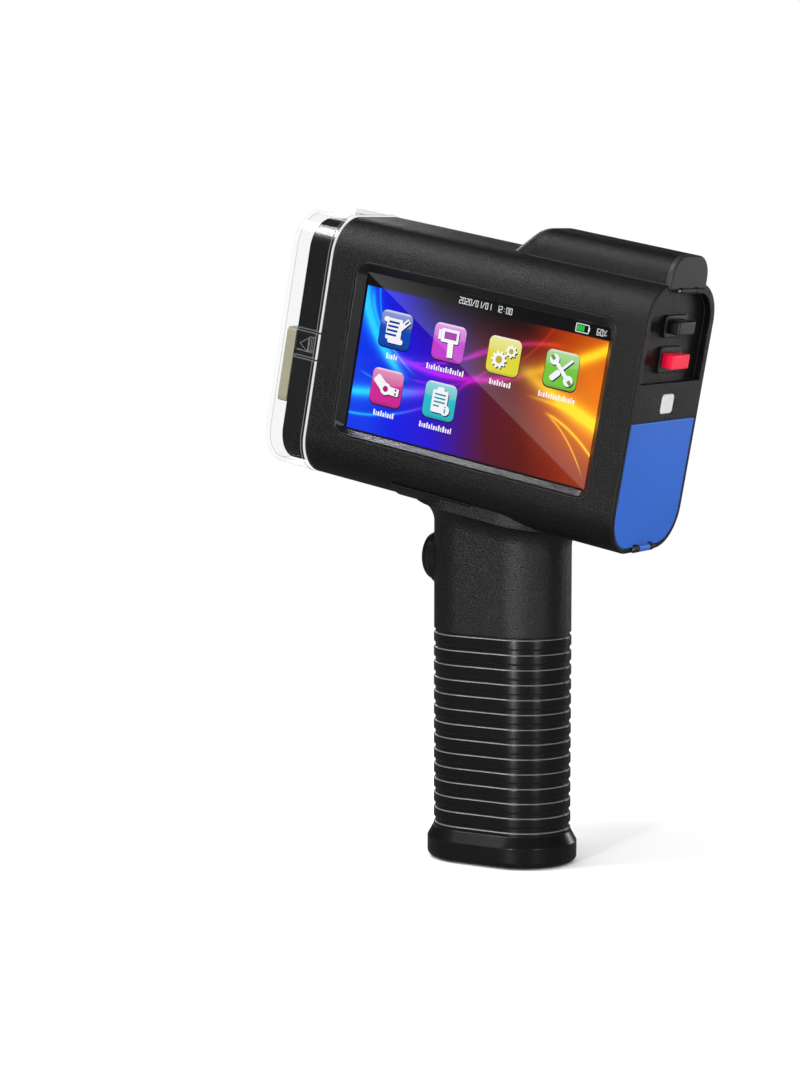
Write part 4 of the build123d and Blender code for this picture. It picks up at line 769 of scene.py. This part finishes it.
def add_icon(name, across, down, colour, caption, drawing):
    """A rounded tile with its own white sign, a shadow under the sign and a caption."""
    place = screen_place(across, down, 0.01 * MM)
    face = icon_face("icon_" + name, colour, place, TILE / 2)
    dark = flat_light("icon_dark_" + name, tuple(c * 0.55 for c in colour))
    tile = round_rect(TILE, TILE, TILE * 0.17)
    shade = [(x * 1.03, z * 1.03 - 0.02 * TILE) for x, z in tile]
    over = place - HEAD_Y * (TILE_THICK + 0.005 * MM)
    white, cut = drawing()
    mesh_object("icon_shade_" + name, lambda form: sheet(form, shade, place, 0.02 * MM), SHADOW)
    mesh_object("icon_tile_" + name, lambda form: sheet(form, tile, place, TILE_THICK), face)
    mesh_object("icon_shadow_" + name, lambda form: add_plates(form, white, over, 0.01 * MM, (0.35, -0.4)),
                SHADOW)
    mesh_object("icon_sign_" + name,
                lambda form: add_plates(form, white, over - HEAD_Y * (0.015 * MM), 0.02 * MM), WHITE)
    mesh_object("icon_cut_" + name,
                lambda form: add_plates(form, cut, over - HEAD_Y * (0.045 * MM), 0.01 * MM), dark)
    add_caption(name, across, down, caption)


for icon in ICONS:
    add_icon(*icon)


# ------------------------------------------------------------------ clock and battery sign
SEGMENTS = {"0": "abcdef", "1": "bc", "2": "abged", "3": "abgcd", "4": "fgbc", "5": "afgcd",
            "6": "afgecd", "7": "abc", "8": "abcdefg", "9": "abcdfg"}
FIGURE_W = 0.0085 * SCREEN_W
FIGURE_H = 0.0185 * SCREEN_H            # half the height of a figure
FIGURE_PITCH = 0.0136
STATUS_DOWN = 0.036


def figure(form, sign, place):
    """A plain seven-segment figure, a stroke, a colon or a percent sign."""
    thick = FIGURE_W * 0.24
    w, h = FIGURE_W / 2, FIGURE_H
    spots = {"a": (0, h, True), "g": (0, 0, True), "d": (0, -h, True), "b": (w, h / 2, False),
             "c": (w, -h / 2, False), "e": (-w, -h / 2, False), "f": (-w, h / 2, False)}
    shapes = []
    if sign in "/%":
        shapes.append(moved(bar(thick, 2.3 * h), 0, 0, -0.4))
    if sign == "%":
        shapes += [moved(disc(0.45 * w, 10), -w, 0.6 * h), moved(disc(0.45 * w, 10), w, -0.6 * h)]
    if sign == ":":
        shapes += [moved(bar(thick, thick), 0, 0.4 * h), moved(bar(thick, thick), 0, -0.4 * h)]
    for segment in SEGMENTS.get(sign, ""):
        x, z, flat = spots[segment]
        shapes.append(moved(bar(2 * w + thick, thick) if flat else bar(thick, h + thick), x, z))
    for k, shape in enumerate(shapes):
        sheet(form, shape, place - HEAD_Y * (0.001 * MM * k), 0.02 * MM)


def write_figures(form, signs, middle_across):
    """A row of figures about a place on the status bar."""
    start = middle_across - (len(signs) - 1) / 2 * FIGURE_PITCH
    for k, sign in enumerate(signs):
        figure(form, sign, screen_place(start + k * FIGURE_PITCH, STATUS_DOWN, 0.02 * MM))


CELL_W = 0.050 * SCREEN_W
CELL_H = 0.050 * SCREEN_H
CELL_LINE = 0.0028 * SCREEN_W


def battery_outline(form):
    """An outlined cell with its terminal, left of the charge figures."""
    place = screen_place(0.889, STATUS_DOWN, 0.02 * MM)
    for k, shape in enumerate((moved(bar(CELL_W, CELL_LINE), 0, CELL_H / 2),
                               moved(bar(CELL_W, CELL_LINE), 0, -CELL_H / 2),
                               moved(bar(CELL_LINE, CELL_H), -CELL_W / 2), moved(bar(CELL_LINE, CELL_H), CELL_W / 2),
                               moved(bar(CELL_LINE, CELL_H / 2), CELL_W / 2 + CELL_LINE))):
        sheet(form, shape, place - HEAD_Y * (0.001 * MM * k), 0.02 * MM)


def battery_charge(form):
    """Three bars of charge in the cell."""
    place = screen_place(0.889, STATUS_DOWN, 0.02 * MM)
    for k in range(3):
        shape = bar(0.18 * CELL_W, 0.68 * CELL_H)
        sheet(form, moved(shape, (k - 1.65) * 0.2 * CELL_W), place, 0.02 * MM)


mesh_object("date_figures", lambda form: write_figures(form, "2020/01/01", 0.452), WHITE)
mesh_object("clock_figures", lambda form: write_figures(form, "12:00", 0.572), WHITE)
mesh_object("charge_figures", lambda form: write_figures(form, "60%", 0.966), WHITE)
mesh_object("charge_outline", battery_outline, WHITE)
mesh_object("charge_level", battery_charge, flat_light("screen_green", (0.03, 0.62, 0.07), 1.0))


# ------------------------------------------------------------------ stage, light and camera
def make_camera():
    right = Vector((cos(AZIMUTH), sin(AZIMUTH), 0))
    up = VIEW_BACK.cross(right)
    data = bpy.data.cameras.new("camera")
    data.lens = LENS
    data.sensor_width = 36
    data.clip_start = 0.01
    camera = bpy.data.objects.new("camera", data)
    camera.location = LOOK_AT + VIEW_BACK * DISTANCE
    aim = -VIEW_BACK + right * AIM_RIGHT + up * AIM_UP
    camera.rotation_mode = "QUATERNION"
    camera.rotation_quaternion = aim.to_track_quat("-Z", "Y")
    scene.collection.objects.link(camera)
    scene.camera = camera
    return camera


def soft_box(name, place, target, size, power, visible=True):
    """A rectangular studio lamp that faces a point."""
    data = bpy.data.lights.new(name, "AREA")
    data.shape = "RECTANGLE"
    data.size, data.size_y = size
    data.energy = power
    lamp = bpy.data.objects.new(name, data)
    lamp.location = place
    lamp.rotation_mode = "QUATERNION"
    lamp.rotation_quaternion = (Vector(target) - Vector(place)).to_track_quat("-Z", "Y")
    lamp.visible_camera = False
    lamp.visible_glossy = visible
    scene.collection.objects.link(lamp)


def make_world():
    """White to the camera and as fill light; nearly dark in reflections, which the lamps draw instead."""
    world = bpy.data.worlds.new("studio")
    world.use_nodes = True
    path = world.node_tree.nodes.new("ShaderNodeLightPath")
    mirrored = Num(world.node_tree, path.outputs["Is Glossy Ray"])
    strength = mirrored * -0.95 + 1.0
    world.node_tree.links.new(strength.socket, world.node_tree.nodes["Background"].inputs["Strength"])
    world.node_tree.nodes["Background"].inputs["Color"].default_value = (1, 1, 1, 1)
    scene.world = world


def make_floor():
    """A pale disc that fades into the white surround, so that only the soft shadow shows."""
    form = bmesh.new()
    bmesh.ops.create_circle(form, cap_ends=True, segments=96, radius=4.0)
    mesh = bpy.data.meshes.new("floor")
    form.to_mesh(mesh)
    form.free()
    floor = bpy.data.objects.new("floor", mesh)
    scene.collection.objects.link(floor)
    paint = Paint("floor")
    x, y, _ = paint.axes()
    far = (x * x + y * y).math("SQRT").step(0.08, 0.45)
    grain = paint.noise(40 * MM) * 0.01 + 0.93
    tint = paint.node("ShaderNodeCombineColor", Red=grain, Green=grain, Blue=grain)
    matte = paint.node("ShaderNodeBsdfDiffuse", Color=tint.outputs[0])
    white = paint.node("ShaderNodeEmission", Color=(1, 1, 1), Strength=1.0)
    dim = paint.node("ShaderNodeEmission", Color=(1, 1, 1), Strength=0.12)
    seen = paint.mix_shaders(far, matte, white)
    mesh.materials.append(paint.surface(paint.mix_shaders(paint.ray("Glossy"), seen, dim).outputs[0]))


make_world()
make_floor()
make_camera()
soft_box("top_box", (-0.45, -0.35, 1.00), (0, 0, 0.18), (0.30, 0.30), 6.5)
soft_box("front_strip", (0.06, -1.15, 0.05), (0, 0, 0.10), (0.09, 0.9), 13)
soft_box("right_strip", (1.05, -0.60, 0.10), (0.03, 0, 0.10), (0.12, 0.9), 5)
soft_box("back_right", (0.35, 1.05, 0.15), (0, 0, 0.10), (0.25, 0.5), 1.5)
soft_box("back_left", (-0.80, 0.90, 0.55), (0, 0, 0.12), (0.35, 0.35), 2)
